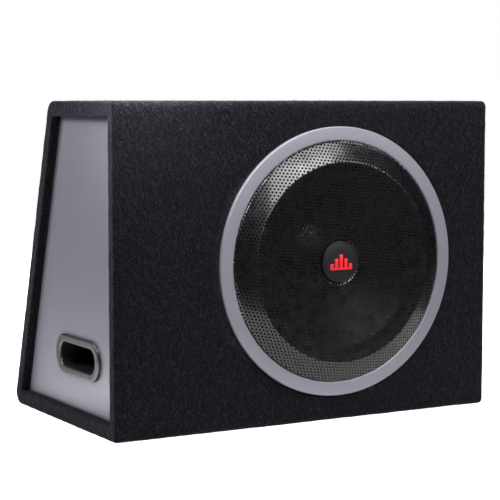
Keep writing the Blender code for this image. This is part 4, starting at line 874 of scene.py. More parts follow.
class SUBWOOFER_OT_grille(bpy.types.Operator):
    """Builds the dished steel grille, a staggered lattice of round holes pressed to the grille's profile"""
    bl_idname = "subwoofer.grille"
    bl_label = "Grille"

    def execute(self, context):
        data = sizes("subwoofer_driver")
        pitch, sheet = data.pitch, data.sheet
        profile = grille_profile(data)
        step = np.linalg.norm(np.diff(profile, axis=0), axis=1)
        along = np.concatenate([[0], np.cumsum(step)])
        edge = along[-1]
        way = np.gradient(profile, along, axis=0)
        reach = int(edge / pitch * 1.2) + 2
        i, j = np.meshgrid(np.arange(-reach, reach + 1), np.arange(-reach, reach + 1))
        centre = np.stack([(i + 0.5 * (j % 2)) * pitch, j * pitch * math.sqrt(3) / 2], -1).reshape(-1, 2)
        # The rows of holes lie a little out of level.
        lean = math.radians(-6.5)
        distance = np.hypot(*centre.T)
        centre, distance = (part[distance < edge - 0.62 * pitch] for part in (centre, distance))
        six = np.radians(30 + 60 * np.arange(6))
        eight = np.radians(22.5 + 45 * np.arange(8))
        corners = centre[:, None] + pitch / math.sqrt(3) * np.stack([np.cos(six), np.sin(six)], 1)
        open_cell = (distance > BADGE_R - 2 * MM) & (distance < np.interp(OPEN_R, profile[:, 0], along))
        holes = centre[open_cell][:, None] + data.hole * np.stack([np.cos(eight), np.sin(eight)], 1)
        key = np.round(corners.reshape(-1, 2) / (1e-4 * pitch)).astype(np.int64)
        _, first, place = np.unique(key, axis=0, return_index=True, return_inverse=True)
        shared = corners.reshape(-1, 2)[first]
        place = place.reshape(-1, 6)
        # Corners of fewer than three cells are the lattice's border, and move out to the round rim.
        border = np.bincount(place.ravel(), minlength=len(shared)) < 3
        length = np.hypot(*shared.T)
        shared[border] *= (edge / length[border])[:, None]
        flat = np.concatenate([shared, holes.reshape(-1, 2)])
        hole_place = len(shared) + np.arange(holes.shape[0] * 8).reshape(-1, 8)
        cell = np.concatenate([place[open_cell], hole_place], 1)
        pattern = ring_between(six, eight)
        fan = [[0, 1, 2], [0, 2, 3], [0, 3, 4], [0, 4, 5]]
        face = np.concatenate([cell[:, pattern].reshape(-1, 3), place[~open_cell][:, fan].reshape(-1, 3)])
        ring = np.stack([hole_place, np.roll(hole_place, -1, 1)], -1).reshape(-1, 2)
        sides = np.concatenate([face[:, [0, 1]], face[:, [1, 2]], face[:, [2, 0]]])
        code = np.sort(sides, 1) @ np.array([len(flat), 1])
        once = np.isin(code, np.unique(code)[np.unique(code, return_counts=True)[1] == 1])
        rim = sides[once & border[np.minimum(sides, len(shared) - 1)].all(1) & (sides < len(shared)).all(1)]

        radius = np.hypot(*flat.T)
        angle = np.arctan2(flat[:, 1], flat[:, 0]) + lean
        middle = np.stack([np.interp(radius, along, profile[:, k]) for k in (0, 1)], 1)
        normal = np.stack([np.interp(radius, along, -way[:, 1]), np.interp(radius, along, way[:, 0])], 1)
        normal /= np.linalg.norm(normal, axis=1, keepdims=True)

        def layer(offset):
            """The middle line moved along its normal by offset, turned to each point's angle."""
            r, depth = (middle + offset * normal).T
            return np.stack([DRIVER_X + r * np.cos(angle), FRONT_Y + depth, DRIVER_Z + r * np.sin(angle)], 1)

        count = len(flat)
        walls = np.concatenate([ring, rim[:, ::-1]])
        wall = np.stack([walls[:, 0], walls[:, 1], walls[:, 1] + count, walls[:, 0] + count], 1)
        faces = [*face.tolist(), *(face[:, ::-1] + count).tolist(), *wall.tolist()]
        both = Shell().loose(np.concatenate([layer(-sheet / 2), layer(sheet / 2)]), faces)
        add_piece("grille_sheet", both.mesh("grille_sheet", weld=0, sharp=50), look("black_steel"),
                  nodes=("grille",))
        return {"FINISHED"}


class SUBWOOFER_OT_trim(bpy.types.Operator):
    """Builds the trim ring, the round badge in the middle of the grille and the bars on it"""
    bl_idname = "subwoofer.trim"
    bl_label = "Ring and badge"

    def execute(self, context):
        outer, bore = (RING_HIGH[0] - RING_LOW[0]) / 2, 141.3 * MM
        front, back = RING_LOW[1] - FRONT_Y, RING_HIGH[1] - FRONT_Y
        shell = 1.2 * MM
        face = np.array([(bore + 2.2 * MM, front), ((bore + outer) / 2, front - 0.12 * MM),
                         (outer - 1.6 * MM, front)])
        smooth = np.linspace(0, 1, 9)[:, None]
        crown = (1 - smooth) ** 2 * face[0] + 2 * smooth * (1 - smooth) * face[1] + smooth ** 2 * face[2]
        profile = np.concatenate([
            [(bore, front + shell + 1.0 * MM)],
            arc((bore + 2.0 * MM, front + 2.0 * MM), (2.0 * MM, 2.0 * MM), 180, 262, 9),
            crown,
            arc((outer - 1.4 * MM, front + 1.4 * MM), (1.4 * MM, 1.4 * MM), 276, 360, 9),
            [(outer, back), (outer - shell, back), (outer - shell, front + 2.4 * MM),
             (outer - 2.6 * MM, front + shell), (bore + 1.6 * MM, front + shell),
             (bore + shell * 0.9, front + shell + 1.0 * MM)],
        ])
        turned("trim_ring_painted", profile, look("ring_paint"), nodes=("trim_ring",),
               steps=288, sharp=50)

        badge_r, face_y = BADGE_R, BADGE_LOW[1] - FRONT_Y
        bead = arc((badge_r - 1.5 * MM, face_y + 0.15 * MM), (0.8 * MM, 0.75 * MM), 180, 360, 11)
        profile = np.concatenate([
            [(0, face_y + 0.1 * MM), (badge_r * 0.5, face_y + 0.1 * MM),
             (badge_r - 2.7 * MM, face_y + 0.1 * MM),
             (badge_r - 2.45 * MM, face_y + 0.25 * MM)],
            bead[1:-1],
            arc((badge_r - 0.8 * MM, face_y + 1.1 * MM), (0.8 * MM, 0.8 * MM), 300, 360, 6),
            [(badge_r, face_y + 2.4 * MM), (2.2 * MM, face_y + 2.4 * MM), (2.2 * MM, 0), (0, 0)],
        ])
        turned("badge_disc", profile, look("badge_plastic"), nodes=("badge",),
               steps=96, closed=False, sharp=45)
        self.bars(face_y)
        return {"FINISHED"}

    def bars(self, face_y):
        """Five upright bars of different heights on a thin common base: rounded blocks, each a rounded
        rectangle drawn at the foot and again, a little smaller, at the top."""
        low, high = box("badge_emblem")
        middle = (low[0] + high[0]) / 2
        foot = low[2]
        heights = np.array([7, 13, 18, 13, 7]) * MM
        pitch, width, base = 6.4 * MM, 4.4 * MM, 2.0 * MM
        shell = Shell()
        blocks = [(middle + (i - 2) * pitch, width, tall) for i, tall in enumerate(heights)]
        blocks += [(middle, high[0] - low[0], base)]
        top_y = low[1]
        deep_y = FRONT_Y + face_y + 0.4 * MM
        for centre, wide, tall in blocks:
            lift = 0.04 * MM if wide > 2 * width else 0
            corner = 0.55 * MM
            levels = [(0, deep_y), (0, top_y + 0.22 * MM + lift), (0.06 * MM, top_y + 0.07 * MM + lift),
                      (0.22 * MM, top_y + lift)]
            outline = []
            for inset, y in levels:
                half, up = wide / 2 - corner, tall / 2 - corner
                angle = np.radians(np.arange(0, 360, 15) + 7.5)
                signs = np.stack([np.sign(np.cos(angle)), np.sign(np.sin(angle))], 1)
                rounded = signs * (half, up) + (corner - inset) * np.stack([np.cos(angle), np.sin(angle)], 1)
                outline.append(np.stack([centre + rounded[:, 0], np.full(len(angle), y),
                                         foot + tall / 2 + rounded[:, 1]], 1))
            for y, ring in ((deep_y, outline[0]), (top_y + lift, outline[-1])):
                cap = np.stack([ring, np.broadcast_to((centre, y, foot + tall / 2), ring.shape)])
                shell.grid(cap, closed_columns=True)
            shell.grid(np.stack(outline), closed_columns=True)
        add_piece("level_bars", shell.mesh("level_bars", sharp=35), look("red_inlay"),
                  nodes=("badge_emblem",))


class SUBWOOFER_OT_driver(bpy.types.Operator):
    """Builds the cone and dust cap, which move with the cone's travel, and the surround and spider"""
    bl_idname = "subwoofer.driver"
    bl_label = "Cone and suspension"

    def execute(self, context):
        surround_middle = -2.3 * MM
        roll_r, half, height = 120.5 * MM, 11 * MM, 7.5 * MM
        lip = np.array([(109.2 * MM, -0.9 * MM), (107.4 * MM, -0.9 * MM)])
        slope = np.linspace(0, 1, 40)[:, None]
        rim, neck = np.array((105.7 * MM, 0.1 * MM)), np.array((26.9 * MM, 52 * MM))
        bow = np.array((-0.55, -0.83)) * 3 * MM * 4 * slope * (1 - slope)
        cone = np.concatenate([lip, rim + (neck - rim) * slope + bow * (-1, 1)])
        turned("cone_moulded", wall_profile(cone, 1.2 * MM), look("cone_polypropylene"), "cone_assembly",
               ("cone",), sharp=50)

        cap_low, cap_high = box("dust_cap")
        cap_r = 46 * MM
        apex = cap_low[1] - FRONT_Y + 0.5 * MM
        seat = cap_high[1] - FRONT_Y - 0.5 * MM
        radius = np.linspace(0.6 * MM, cap_r - 0.6 * MM, 28)
        cap = np.stack([radius, apex + (seat - apex) * (radius / cap_r) ** 2], 1)
        turned("dust_cap_moulded", wall_profile(cap, 1.0 * MM), look("cone_polypropylene"), "cone_assembly",
               ("dust_cap",), sharp=60)

        roll = arc((roll_r, surround_middle), (half, -height), 0, 180, 25)
        land = np.array([(139 * MM, surround_middle), (roll_r + half + 0.3 * MM, surround_middle)])
        inner = np.array([(roll_r - half - 2.8 * MM, surround_middle),
                          (104.0 * MM, surround_middle + 0.1 * MM)])
        surround = turned("surround_roll", wall_profile(np.concatenate([land, roll, inner]), 1.0 * MM),
                          look("surround_rubber"), None, ("surround",), sharp=60)
        self.bend(surround, 107 * MM, 134 * MM)

        radius = np.linspace(26.6 * MM, 77.8 * MM, 90)
        share_in = np.clip((radius - 29 * MM) / (37 * MM), 0, 1)
        wave = 2 * MM * np.sin(share_in * 3 * TURN) * np.sin(share_in * math.pi) ** 0.5
        spider_depth = (box("spider")[0][1] + box("spider")[1][1]) / 2 - FRONT_Y
        spider = turned("spider_damper", wall_profile(np.stack([radius, spider_depth + wave], 1), 0.8 * MM),
                        look("spider_cloth"), None, ("spider",), steps=120, sharp=60)
        self.bend(spider, 28 * MM, 68 * MM)
        return {"FINISHED"}

    def bend(self, obj, inner, outer):
        """Bakes the piece's placing into its mesh and takes its points about the driver's axis. The inner
        and outer radii are not used."""
        centre = np.array((DRIVER_X, FRONT_Y, DRIVER_Z))
        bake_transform(obj)
        points = points_of(obj.data) - centre


# ---------------------------------------------------------------- the left end
def stadium(length_, height_, count=40):
    """A closed line of two straight sides and two half circles, in (y, z) about its middle. Its corners are
    spaced alike in each, whatever the size."""
    radius = height_ / 2
    half = length_ / 2 - radius
    turn = np.radians(np.linspace(-90, 90, count))
    right = np.stack([half + radius * np.cos(turn), radius * np.sin(turn)], 1)
    straight = np.linspace(0, 1, 12)[1:-1, None]
    left = -right
    top = right[-1] + straight * (left[0] - right[-1])
    bottom = left[-1] + straight * (right[0] - left[-1])
    return np.concatenate([right, top, left, bottom])


class SUBWOOFER_OT_port(bpy.types.Operator):
    """Builds the oval port's satin bezel and its tube: a profile carried round an oval"""
    bl_idname = "subwoofer.port"
    bl_label = "Port"

    def execute(self, context):
        low, high = box("port_bezel")
        tube_low, tube_high = box("port_tube")
        middle = (low + high) / 2
        wall = 2.2 * MM
        opening = np.array((tube_high[1] - tube_low[1], tube_high[2] - tube_low[2])) - 2 * wall
        outside = np.array((high[1] - low[1], high[2] - low[2]))
        face, seat = low[0], high[0]

        def carried(profile):
            """Each profile point is (share out from the opening to the outside, x)."""
            rings = []
            for out, x in profile:
                line = stadium(*(opening + (outside - opening) * out))
                rings.append(np.column_stack([np.full(len(line), x), middle[1] + line[:, 0],
                                              middle[2] + line[:, 1]]))
            return np.stack(rings)

        proud = seat - face
        profile = np.concatenate([
            [(0.02, seat + 2.5 * MM), (0.0, seat), (0.0, face + 1.7 * MM)],
            arc((0.17, face + 1.7 * MM), (0.17, 1.35 * MM), 180, 270, 7),
            [(0.30, face + 0.30 * MM), (0.45, face + 0.20 * MM), (0.60, face + 0.12 * MM),
             (0.72, face + 0.06 * MM)],
            arc((0.80, face + 1.1 * MM), (0.20, 1.1 * MM), 282, 360, 7),
            [(1.0, face + proud * 0.7), (1.0, seat), (0.25, seat), (0.25, seat + 2.5 * MM)],
        ])
        bezel = Shell().grid(carried(profile), closed_rows=True, closed_columns=True)
        add_piece("port_bezel_satin", bezel.mesh("port_bezel_satin", sharp=42), look("bezel_satin"),
                  nodes=("port_bezel",))

        start, end = tube_low[0], tube_high[0]
        inside = (tube_high - tube_low)[1:] - 2 * wall
        lines = []
        for x, grow in ((start, 0), (start + 20 * MM, 0), ((start + end) / 2, 0), (end - 6 * MM, 0),
                        (end - 1 * MM, 0.5 * MM), (end, 1.2 * MM), (end, 2 * wall), (start, 2 * wall)):
            line = stadium(*(inside + grow))
            lines.append(np.column_stack([np.full(len(line), x), middle[1] + line[:, 0],
                                          (tube_low[2] + tube_high[2]) / 2 + line[:, 1]]))
        tube = Shell().grid(np.stack(lines), closed_rows=True, closed_columns=True)
        add_piece("port_tube_moulded", tube.mesh("port_tube_moulded"), look("port_plastic"),
                  nodes=("port_tube",))
        return {"FINISHED"}


# ---------------------------------------------------------------- the right end
def about_x(profile, y, z, steps=32, ribs=0, rib_rows=None, rib_height=0.0):
    """A closed (radius, x) profile turned about a line along X through (y, z). Where rib_rows is 1, the
    radius gains rib_height times a cosine of the turn times the number of ribs."""
    angle = np.linspace(0, TURN, steps, endpoint=False)[None]
    radius, x = profile[:, 0:1], profile[:, 1:2]
    if ribs:
        radius = radius + rib_height * rib_rows[:, None] * np.cos(ribs * angle)
    return np.stack([x + 0 * angle, y + radius * np.sin(angle), z + radius * np.cos(angle)], -1)


def blocks(centres, halves, axes=None):
    """Blocks from middle points and half sizes, upright or along three axes each: the corners are the middle
    plus or minus each half size along its axis."""
    corner = np.array([(i, j, k) for i in (-1, 1) for j in (-1, 1) for k in (-1, 1)])
    reach = np.asarray(halves)[:, None] * corner
    if axes is not None:
        reach = np.einsum("bci,bix->bcx", reach, axes)
    points = np.asarray(centres)[:, None] + reach
    faces = np.array([[0, 1, 3, 2], [4, 6, 7, 5], [0, 4, 5, 1], [2, 3, 7, 6], [0, 2, 6, 4], [1, 5, 7, 3]])
    return points.reshape(-1, 3), (8 * np.arange(len(points))[:, None, None] + faces).reshape(-1, 4)


def axis_of(node):
    """Where a round piece of the right end has its middle, in (y, z)."""
    low, high = box(node)
    return (low[1] + high[1]) / 2, (low[2] + high[2]) / 2


KNOBS = ("level_knob", "crossover_knob", "bass_boost_knob")


class SUBWOOFER_OT_knobs(bpy.types.Operator):
    """Builds the three ribbed knobs and their pointers, which turn with their own bodies"""
    bl_idname = "subwoofer.knobs"
    bl_label = "Knobs"

    def execute(self, context):
        data = sizes("subwoofer_amplifier")
        for name in KNOBS:
            y, z = axis_of(name)
            low, high = box(name)
            radius, top, foot = (high[1] - low[1]) / 2, high[0], PLATE_FACE + 1.0 * MM
            side = radius - 1.0 * MM
            rows = [(0, top - 0.35 * MM, 0), (side - 3.4 * MM, top - 0.35 * MM, 0),
                    (side - 2.6 * MM, top - 0.1 * MM, 0), (side - 2.0 * MM, top, 0),
                    (side - 1.2 * MM, top, 0), (side - 0.55 * MM, top - 0.25 * MM, 0.2),
                    (side - 0.25 * MM, top - 0.8 * MM, 1), (side, top - 3 * MM, 1),
                    (side + 0.15 * MM, foot + 2.2 * MM, 1), (side + 0.25 * MM, foot + 1.7 * MM, 0.3),
                    (radius - 0.3 * MM, foot + 1.3 * MM, 0), (radius, foot + 0.9 * MM, 0), (radius, foot, 0),
                    (3 * MM, foot, 0), (3 * MM, low[0], 0), (0, low[0], 0)]
            rows = np.array(rows)
            shape = about_x(rows[:, :2], y, z, 8 * data.knurls, data.knurls, rows[:, 2], 0.22 * MM)
            mesh = Shell().grid(shape, closed_columns=True).mesh(f"{name}_ribbed", sharp=40)
            add_piece(f"{name}_ribbed", mesh, look("knob_plastic"), name, (name,))
            reach = side - 0.6 * MM
            lines, faces = blocks([(top - 0.3 * MM, y, z + reach - 2.3 * MM),
                                   (top - 3.0 * MM, y, z + side + 0.05 * MM)],
                                  [(0.42 * MM, 0.5 * MM, 2.3 * MM), (2.6 * MM, 0.5 * MM, 0.25 * MM)])
            pointer = Shell().loose(lines, faces).mesh(f"{name}_pointer")
            obj = add_piece(f"{name}_pointer", pointer, look("connector_white"), name)
            edge = obj.modifiers.new("edge", "BEVEL")
            edge.width = 0.12 * MM
            edge.segments = 2
        return {"FINISHED"}


class SUBWOOFER_OT_sockets(bpy.types.Operator):
    """Builds the gold line sockets, the pins of the speaker level socket, the clamp screws of the power
    terminals and the button screws of the plate"""
    bl_idname = "subwoofer.sockets"
    bl_label = "Sockets and screws"

    def execute(self, context):
        self.line_sockets()
        self.pins()
        self.clamp_screws()
        self.plate_screws()
        return {"FINISHED"}

    def line_sockets(self):
        """Two turned gold shells, each round an insulating core with a bore, on a moulded block."""
        low, high = box("line_input_sockets")
        z = (low[2] + high[2]) / 2
        ends = (low[1] + 6 * MM, high[1] - 6 * MM)
        tip, base = high[0], PLATE_LOW[0] - 0.3 * MM
        block = blocks([((low[0] + base) / 2, (low[1] + high[1]) / 2, z)],
                       [((base - low[0]) / 2, (high[1] - low[1]) / 2, (high[2] - low[2]) / 2)])
        body = add_piece("line_socket_block", Shell().loose(*block).mesh("line_socket_block"),
                         look("black_plastic"), nodes=("line_input_sockets",))
        edge = body.modifiers.new("edge", "BEVEL")
        edge.width = 0.6 * MM
        edge.segments = 3
        gold, cores = Shell(), (Shell(), Shell())
        shell = np.array([(3.1 * MM, base - 1 * MM), (4.2 * MM, base - 1 * MM), (4.2 * MM, tip - 1.9 * MM),
                          (4.05 * MM, tip - 1.7 * MM), (4.05 * MM, tip - 1.4 * MM),
                          (4.2 * MM, tip - 1.2 * MM),
                          (4.2 * MM, tip - 0.5 * MM), (4.0 * MM, tip - 0.1 * MM), (3.8 * MM, tip),
                          (3.5 * MM, tip), (3.3 * MM, tip - 0.15 * MM), (3.1 * MM, tip - 0.5 * MM)])
        core = np.array([(1.7 * MM, base), (3.1 * MM, base), (3.1 * MM, tip - 0.9 * MM),
                         (2.9 * MM, tip - 0.75 * MM), (1.95 * MM, tip - 0.75 * MM),
                         (1.7 * MM, tip - 1.0 * MM)])
        collar = np.array([(4.22 * MM, PLATE_FACE - 0.2 * MM), (5.9 * MM, PLATE_FACE - 0.2 * MM),
                           (5.9 * MM, PLATE_FACE + 0.6 * MM), (5.6 * MM, PLATE_FACE + 0.9 * MM),
                           (4.22 * MM, PLATE_FACE + 0.9 * MM)])
        for y, made in zip(ends, cores):
            gold.grid(about_x(shell, y, z, 40), True, True)
            made.grid(about_x(core, y, z, 32), True, True)
            made.grid(about_x(collar, y, z, 40), True, True)
        add_piece("line_socket_shells", gold.mesh("line_socket_shells"), look("gold_plate"))
        for made, name, paint in zip(cores, ("line_socket_right", "line_socket_left"),
                                     ("socket_red", "connector_white")):
            add_piece(name, made.mesh(name), look(paint))

    def pins(self):
        """Six tinned pins in two rows inside the speaker level socket."""
        low, high = box("speaker_level_socket")
        y = np.linspace(low[1] + 5 * MM, high[1] - 5 * MM, 3)
        z = np.array((low[2] + 4.3 * MM, high[2] - 4.3 * MM))
        places = [(low[0] + 6.5 * MM, a, b) for a in y for b in z]
        pins = blocks(places, [(5 * MM, 0.5 * MM, 0.5 * MM)] * len(places))
        add_piece("speaker_level_pins", Shell().loose(*pins).mesh("speaker_level_pins"),
                  look("zinc_steel"))

    def clamp_screws(self):
        """Slotted screws over the wire entries: a domed disc parted by a straight slot."""
        low, high = box("power_terminal_block")
        face, z = high[0], high[2] - 7.2 * MM
        made = Shell()
        first = low[1] + 6 * MM + 4.5 * MM
        for y in first + 15 * MM * np.arange(3):
            for sign in (-1, 1):
                # Half a disc: from the slot's edge, a straight side, out to the round edge.
                turn = np.radians(np.linspace(0, 180, 17))
                disc, slot = 3.3 * MM, 0.45 * MM
                out = np.stack([disc * np.cos(turn), slot + (disc - slot) * np.sin(turn)], 1)
                inner = np.stack([disc * np.cos(turn) * 0.9, np.full(17, slot)], 1)
                rows = []
                for share_out, x in ((0, face - 1 * MM), (0, face + 0.35 * MM), (0.5, face + 0.38 * MM),
                                     (0.88, face + 0.3 * MM), (1, face + 0.1 * MM), (1, face - 1 * MM)):
                    flat = inner * (1 - share_out) + out * share_out
                    rows.append(np.column_stack([np.full(17, x), y + flat[:, 0], z + sign * flat[:, 1]]))
                made.grid(np.stack(rows), closed_rows=True)
                for end in (0, -1):
                    made.loose(np.stack([row[end] for row in rows]), [list(range(len(rows)))])
        add_piece("clamp_screws", made.mesh("clamp_screws", sharp=35), look("zinc_steel"))

    def plate_screws(self):
        """Button heads with a six-sided socket: a dome turned about X whose inner rows follow a hexagon."""
        angle = np.linspace(0, TURN, 48, endpoint=False)
        hexagon = math.cos(math.pi / 6) / np.cos((angle + math.pi / 6) % (math.pi / 3) - math.pi / 6)
        for i in range(1, 5):
            node = f"plate_screw_{i}"
            low, high = box(node)
            y, z = axis_of(node)
            head_r, top = (high[2] - low[2]) / 2, high[0]
            head_r = max(head_r, (high[1] - low[1]) / 2)
            foot = PLATE_FACE
            rows = []
            for radius, x, six in ((0, top - 1.0 * MM, 1), (1.15 * MM, top - 1.0 * MM, 1),
                                   (1.25 * MM, top - 0.08 * MM, 1), (1.5 * MM, top, 0),
                                   (head_r * 0.66, top - 0.12 * MM, 0), (head_r * 0.86, top - 0.42 * MM, 0),
                                   (head_r * 0.97, top - 0.85 * MM, 0), (head_r, foot, 0),
                                   (1.9 * MM, foot, 0), (1.9 * MM, low[0], 0), (0, low[0], 0)):
                r = radius * (hexagon if six else np.ones(48))
                rows.append(np.stack([np.full(48, x), y + r * np.sin(angle), z + r * np.cos(angle)], 1))
            name = f"plate_button_screw_{i}"
            mesh = Shell().grid(np.stack(rows), closed_columns=True).mesh(name, sharp=35)
            add_piece(name, mesh, look("screw_black"), nodes=(node,))


class SUBWOOFER_OT_heat_sink(bpy.types.Operator):
    """Builds the extruded heat sink: one comb outline with round fin tips, carried along the box's depth"""
    bl_idname = "subwoofer.heat_sink"
    bl_label = "Heat sink"

    def execute(self, context):
        low, high = box("heat_sink")
        fin, pitch, base = 1.8 * MM, 7 * MM, 1.6 * MM
        count = 1 + round((high[2] - low[2] - fin) / pitch)
        line = [(low[0], low[2])]
        turn = np.radians(np.linspace(-90, 90, 7))
        for z in low[2] + pitch * np.arange(count):
            if z > low[2] + fin:
                line += [(low[0] + base + 0.5 * MM, z), (low[0] + base + 1.2 * MM, z + 0.06 * MM)]
            middle = z + fin / 2
            line += list(zip(high[0] - 0.7 * MM + 0.7 * MM * np.cos(turn),
                             middle + (fin / 2 - 0.15 * MM) * np.sin(turn)))
            if z + fin < high[2] - MM:
                line += [(low[0] + base + 1.2 * MM, z + fin - 0.06 * MM),
                         (low[0] + base + 0.5 * MM, z + fin),
                         (low[0] + base, z + fin + 0.5 * MM), (low[0] + base, z + pitch - 0.5 * MM)]
        line.append((low[0], high[2]))
        line = np.array(line)
        ends = []
        for y, shrink in ((low[1], 0.2 * MM), (low[1] + 0.3 * MM, 0), (high[1] - 0.3 * MM, 0),
                          (high[1], 0.2 * MM)):
            x = np.where(line[:, 0] > low[0] + base, line[:, 0] - shrink, line[:, 0])
            ends.append(np.column_stack([x, np.full(len(line), y), line[:, 1]]))
        shell = Shell().grid(np.stack(ends), closed_columns=True)
        for end in (ends[0], ends[-1]):
            shell.loose(end, [list(range(len(end)))])
        add_piece("heat_sink_extrusion", shell.mesh("heat_sink_extrusion", sharp=35),
                  look("amplifier_powder_coat"), nodes=("heat_sink",))
        return {"FINISHED"}


class SUBWOOFER_OT_scales(bpy.types.Operator):
    """Prints the ticks and numbers of the dials on the amplifier's plate, as raised ink"""
    bl_idname = "subwoofer.scales"
    bl_label = "Printed scales"

    def execute(self, context):
        face = PLATE_FACE + 0.03 * MM
        thick = 0.05 * MM
        shell = Shell()
        angle = np.radians(np.linspace(-140, 140, 11))
        longer = np.array([1, 0, 0, 0, 0, 1, 0, 0, 0, 0, 1]) > 0
        half = np.where(longer, 1.1, 0.75) * MM
        up = np.stack([1 + 0 * angle, 0 * angle, 0 * angle], 1)
        across = np.stack([0 * angle, np.cos(angle), -np.sin(angle)], 1)
        along = np.stack([0 * angle, np.sin(angle), np.cos(angle)], 1)
        halves = np.stack([np.full(len(angle), thick), np.full(len(angle), 0.22 * MM), half], 1)
        for name in KNOBS:
            centre = np.array((face, *axis_of(name))) + along * (10.4 * MM + half)[:, None]
            shell.loose(*blocks(centre, halves, np.stack([up, across, along], 1)))
        # Two thin lines across the plate, between the rows of controls.
        low, high = PLATE_LOW, PLATE_HIGH
        centres = [(face, (low[1] + high[1]) / 2, high[2] - down * MM) for down in (52, 80)]
        shell.loose(*blocks(centres, [(thick, (high[1] - low[1]) / 2 - 14 * MM, 0.2 * MM)] * 2))
        add_piece("dial_ticks", shell.mesh("dial_ticks"), look("scale_ink"))
        self.numbers(face)
        return {"FINISHED"}

    def numbers(self, face):
        """Numbers at the ends of each dial and of the phase switch, set upright on the plate."""
        texts = []
        for name, ends in zip(KNOBS, (("0", "10"), ("50", "150"), ("0", "12"))):
            y, z = axis_of(name)
            texts += [(ends[0], y - 9.6 * MM, z - 12.4 * MM), (ends[1], y + 9.6 * MM, z - 12.4 * MM)]
        y, z = axis_of("phase_switch")
        texts += [("0", y - 8.5 * MM, z), ("180", y + 12.5 * MM, z)]
        shell = Shell()
        for body, y, z in texts:
            curve = bpy.data.curves.new("number", "FONT")
            curve.body = body
            curve.size = 4.2 * MM
            curve.extrude = 0.04 * MM
            curve.align_x = "CENTER"
            curve.align_y = "CENTER"
            curve.resolution_u = 3
            holder = bpy.data.objects.new("number", curve)
            bpy.context.scene.collection.objects.link(holder)
            bpy.context.view_layer.update()
            graph = bpy.context.evaluated_depsgraph_get()
            flat = bpy.data.meshes.new_from_object(holder.evaluated_get(graph))
            points = points_of(flat)
            placed = np.stack([face + points[:, 2], y + points[:, 0], z + points[:, 1]], 1)
            shell.loose(placed, [list(side.vertices) for side in flat.polygons])
            bpy.data.objects.remove(holder)
            bpy.data.meshes.remove(flat)
        add_piece("dial_numbers", shell.mesh("dial_numbers"), look("scale_ink"))


# ---------------------------------------------------------------- everything kept from the frame
class SUBWOOFER_OT_kept_pieces(bpy.types.Operator):
    """Gives each piece that keeps its CAD shape its finish"""
    bl_idname = "subwoofer.kept_pieces"
    bl_label = "Kept pieces"

    def execute(self, context):
        other = {"basket": "basket_steel", "magnet_boot": "surround_rubber"}
        for name, node in NODES.items():
            if node.hide_render:
                continue
            for slot in node.material_slots:
                wanted = other.get(name, slot.material.name.split(".")[0])
                slot.link = "OBJECT"
                slot.material = look(wanted)
        return {"FINISHED"}


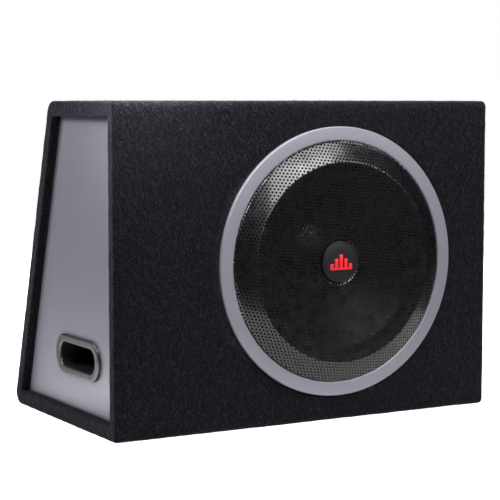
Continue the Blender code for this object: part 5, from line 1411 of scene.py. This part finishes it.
# ---------------------------------------------------------------- studio
class SUBWOOFER_OT_stage(bpy.types.Operator):
    """Builds the pale floor, the lights round the box and the camera"""
    bl_idname = "subwoofer.stage"
    bl_label = "Stage"

    def execute(self, context):
        data = sizes("subwoofer_studio")
        self.floor(data)
        self.world(data)
        self.lights()
        self.camera(data)
        context.scene.view_settings.view_transform = "Standard"
        return {"FINISHED"}

    def floor(self, data):
        """A flat square, 14 metres across. Its paint is pale near the box and dark far from it, so that only
        the near part of it lights the box, and it looks white all over."""
        ends = np.linspace(-7, 7, 9)
        x, y = np.meshgrid(ends, ends, indexing="ij")
        points = np.stack([x, y, np.full_like(x, -0.0004)], -1)
        mesh = Shell().grid(points).mesh("floor", recalculate=False)
        if mesh.polygons[0].normal.z < 0:
            mesh.flip_normals()
        made = Finish("floor_white", roughness=0.9)
        colour = tuple(data.floor)
        distance = made.node("ShaderNodeVectorMath", {"operation": "LENGTH"}, i0=made.place).outputs["Value"]
        split = made.node("ShaderNodeSeparateXYZ", i0=made.place)
        dark = 0.06
        near = made.sum(made.remap(split.outputs["Y"], FRONT_Y - 0.30, FRONT_Y - 0.27, dark, 1.0),
                        made.remap(split.outputs["X"], 0.48, 0.52, 1.0, dark), "MULTIPLY")
        far = made.remap(distance, 0.9, 1.5, 1.0, dark)
        made.colour(made.ramp(made.sum(near, far, "MULTIPLY"), (0.0, (0, 0, 0)), (1.0, colour)))
        seen = made.node("ShaderNodeEmission", Color=(1, 1, 1, 1), Strength=data.floor_glow).outputs[0]
        pale = made.node("ShaderNodeBsdfDiffuse", Color=(*colour, 1)).outputs[0]
        both = made.node("ShaderNodeAddShader", i0=seen, i1=pale).outputs[0]
        path = made.node("ShaderNodeLightPath").outputs["Is Camera Ray"]
        mixed = made.node("ShaderNodeMixShader", i0=path, i1=made.shader.outputs[0], i2=both).outputs[0]
        made.feed(made.tree.nodes["Material Output"], "surface", mixed)
        add_piece("floor", mesh, made.material, body=None)

    def world(self, data):
        """White behind the box, and to light it a room, dark at eye level and pale overhead."""
        world = bpy.data.worlds.new("studio")
        bpy.context.scene.world = world
        world.use_nodes = True
        world.node_tree.nodes.clear()
        made = Wiring(world.node_tree)
        place = made.node("ShaderNodeTexCoord").outputs["Generated"]
        rise = made.node("ShaderNodeSeparateXYZ", i0=place).outputs["Z"]
        strength = made.node("ShaderNodeMapRange", i0=rise, i1=0.15, i2=0.9, i3=data.room, i4=data.sky)
        room = made.node("ShaderNodeBackground", Color=(0.94, 0.95, 1.0), Strength=strength.outputs[0])
        seen = made.node("ShaderNodeBackground", Color=(1, 1, 1))
        path = made.node("ShaderNodeLightPath").outputs["Is Camera Ray"]
        mixed = made.node("ShaderNodeMixShader", i0=path, i1=room.outputs[0], i2=seen.outputs[0])
        made.node("ShaderNodeOutputWorld", Surface=mixed.outputs[0])

    def lights(self):
        """Softboxes: each has a place, the point it faces, its size and its power in watts."""
        for name, place, aim, size, power in SOFTBOXES:
            lamp = bpy.data.lights.new(name, "AREA")
            lamp.shape = "RECTANGLE"
            lamp.size, lamp.size_y = size
            lamp.energy = power
            obj = bpy.data.objects.new(name, lamp)
            bpy.context.scene.collection.objects.link(obj)
            obj.location = place
            obj.rotation_mode = "QUATERNION"
            obj.rotation_quaternion = Vector(np.subtract(aim, place)).to_track_quat("-Z", "Y")

    def camera(self, data):
        """Turned 29.6 degrees to the right and 5.1 degrees down, from the left of the front."""
        camera = bpy.data.cameras.new("camera")
        camera.lens = data.lens
        camera.sensor_width = 36
        camera.clip_start, camera.clip_end = 0.05, 60
        obj = bpy.data.objects.new("camera", camera)
        bpy.context.scene.collection.objects.link(obj)
        obj.location = CAMERA_PLACE
        obj.rotation_euler = CAMERA_TURN
        bpy.context.scene.camera = obj


# ---------------------------------------------------------------- panel and registration
OPERATORS = [SUBWOOFER_OT_carpet, SUBWOOFER_OT_grille, SUBWOOFER_OT_trim, SUBWOOFER_OT_driver,
             SUBWOOFER_OT_port, SUBWOOFER_OT_knobs, SUBWOOFER_OT_sockets, SUBWOOFER_OT_heat_sink,
             SUBWOOFER_OT_scales, SUBWOOFER_OT_kept_pieces, SUBWOOFER_OT_stage]
GROUPS = {"subwoofer_box": BoxSizes, "subwoofer_driver": DriverSizes, "subwoofer_amplifier": AmplifierSizes,
          "subwoofer_studio": StudioSizes}


class SUBWOOFER_PT_panel(bpy.types.Panel):
    """Lists the builders and their sizes"""
    bl_label = "Subwoofer"
    bl_idname = "SUBWOOFER_PT_panel"
    bl_space_type = "VIEW_3D"
    bl_region_type = "UI"
    bl_category = "Subwoofer"

    def draw(self, context):
        for group in GROUPS:
            data = getattr(context.scene, group)
            column = self.layout.column(align=True)
            for name in data.__annotations__:
                column.prop(data, name)
        for operator in OPERATORS:
            self.layout.operator(operator.bl_idname)


def register():
    for cls in (*GROUPS.values(), *OPERATORS, SUBWOOFER_PT_panel):
        bpy.utils.register_class(cls)
    for name, group in GROUPS.items():
        setattr(bpy.types.Scene, name, bpy.props.PointerProperty(type=group))


def unregister():
    for name in GROUPS:
        delattr(bpy.types.Scene, name)
    for cls in reversed((*GROUPS.values(), *OPERATORS, SUBWOOFER_PT_panel)):
        bpy.utils.unregister_class(cls)


def main():
    register()
    for operator in OPERATORS:
        name = operator.bl_idname.split(".")[1]
        getattr(bpy.ops.subwoofer, name)()


if __name__ == "__main__":
    main()
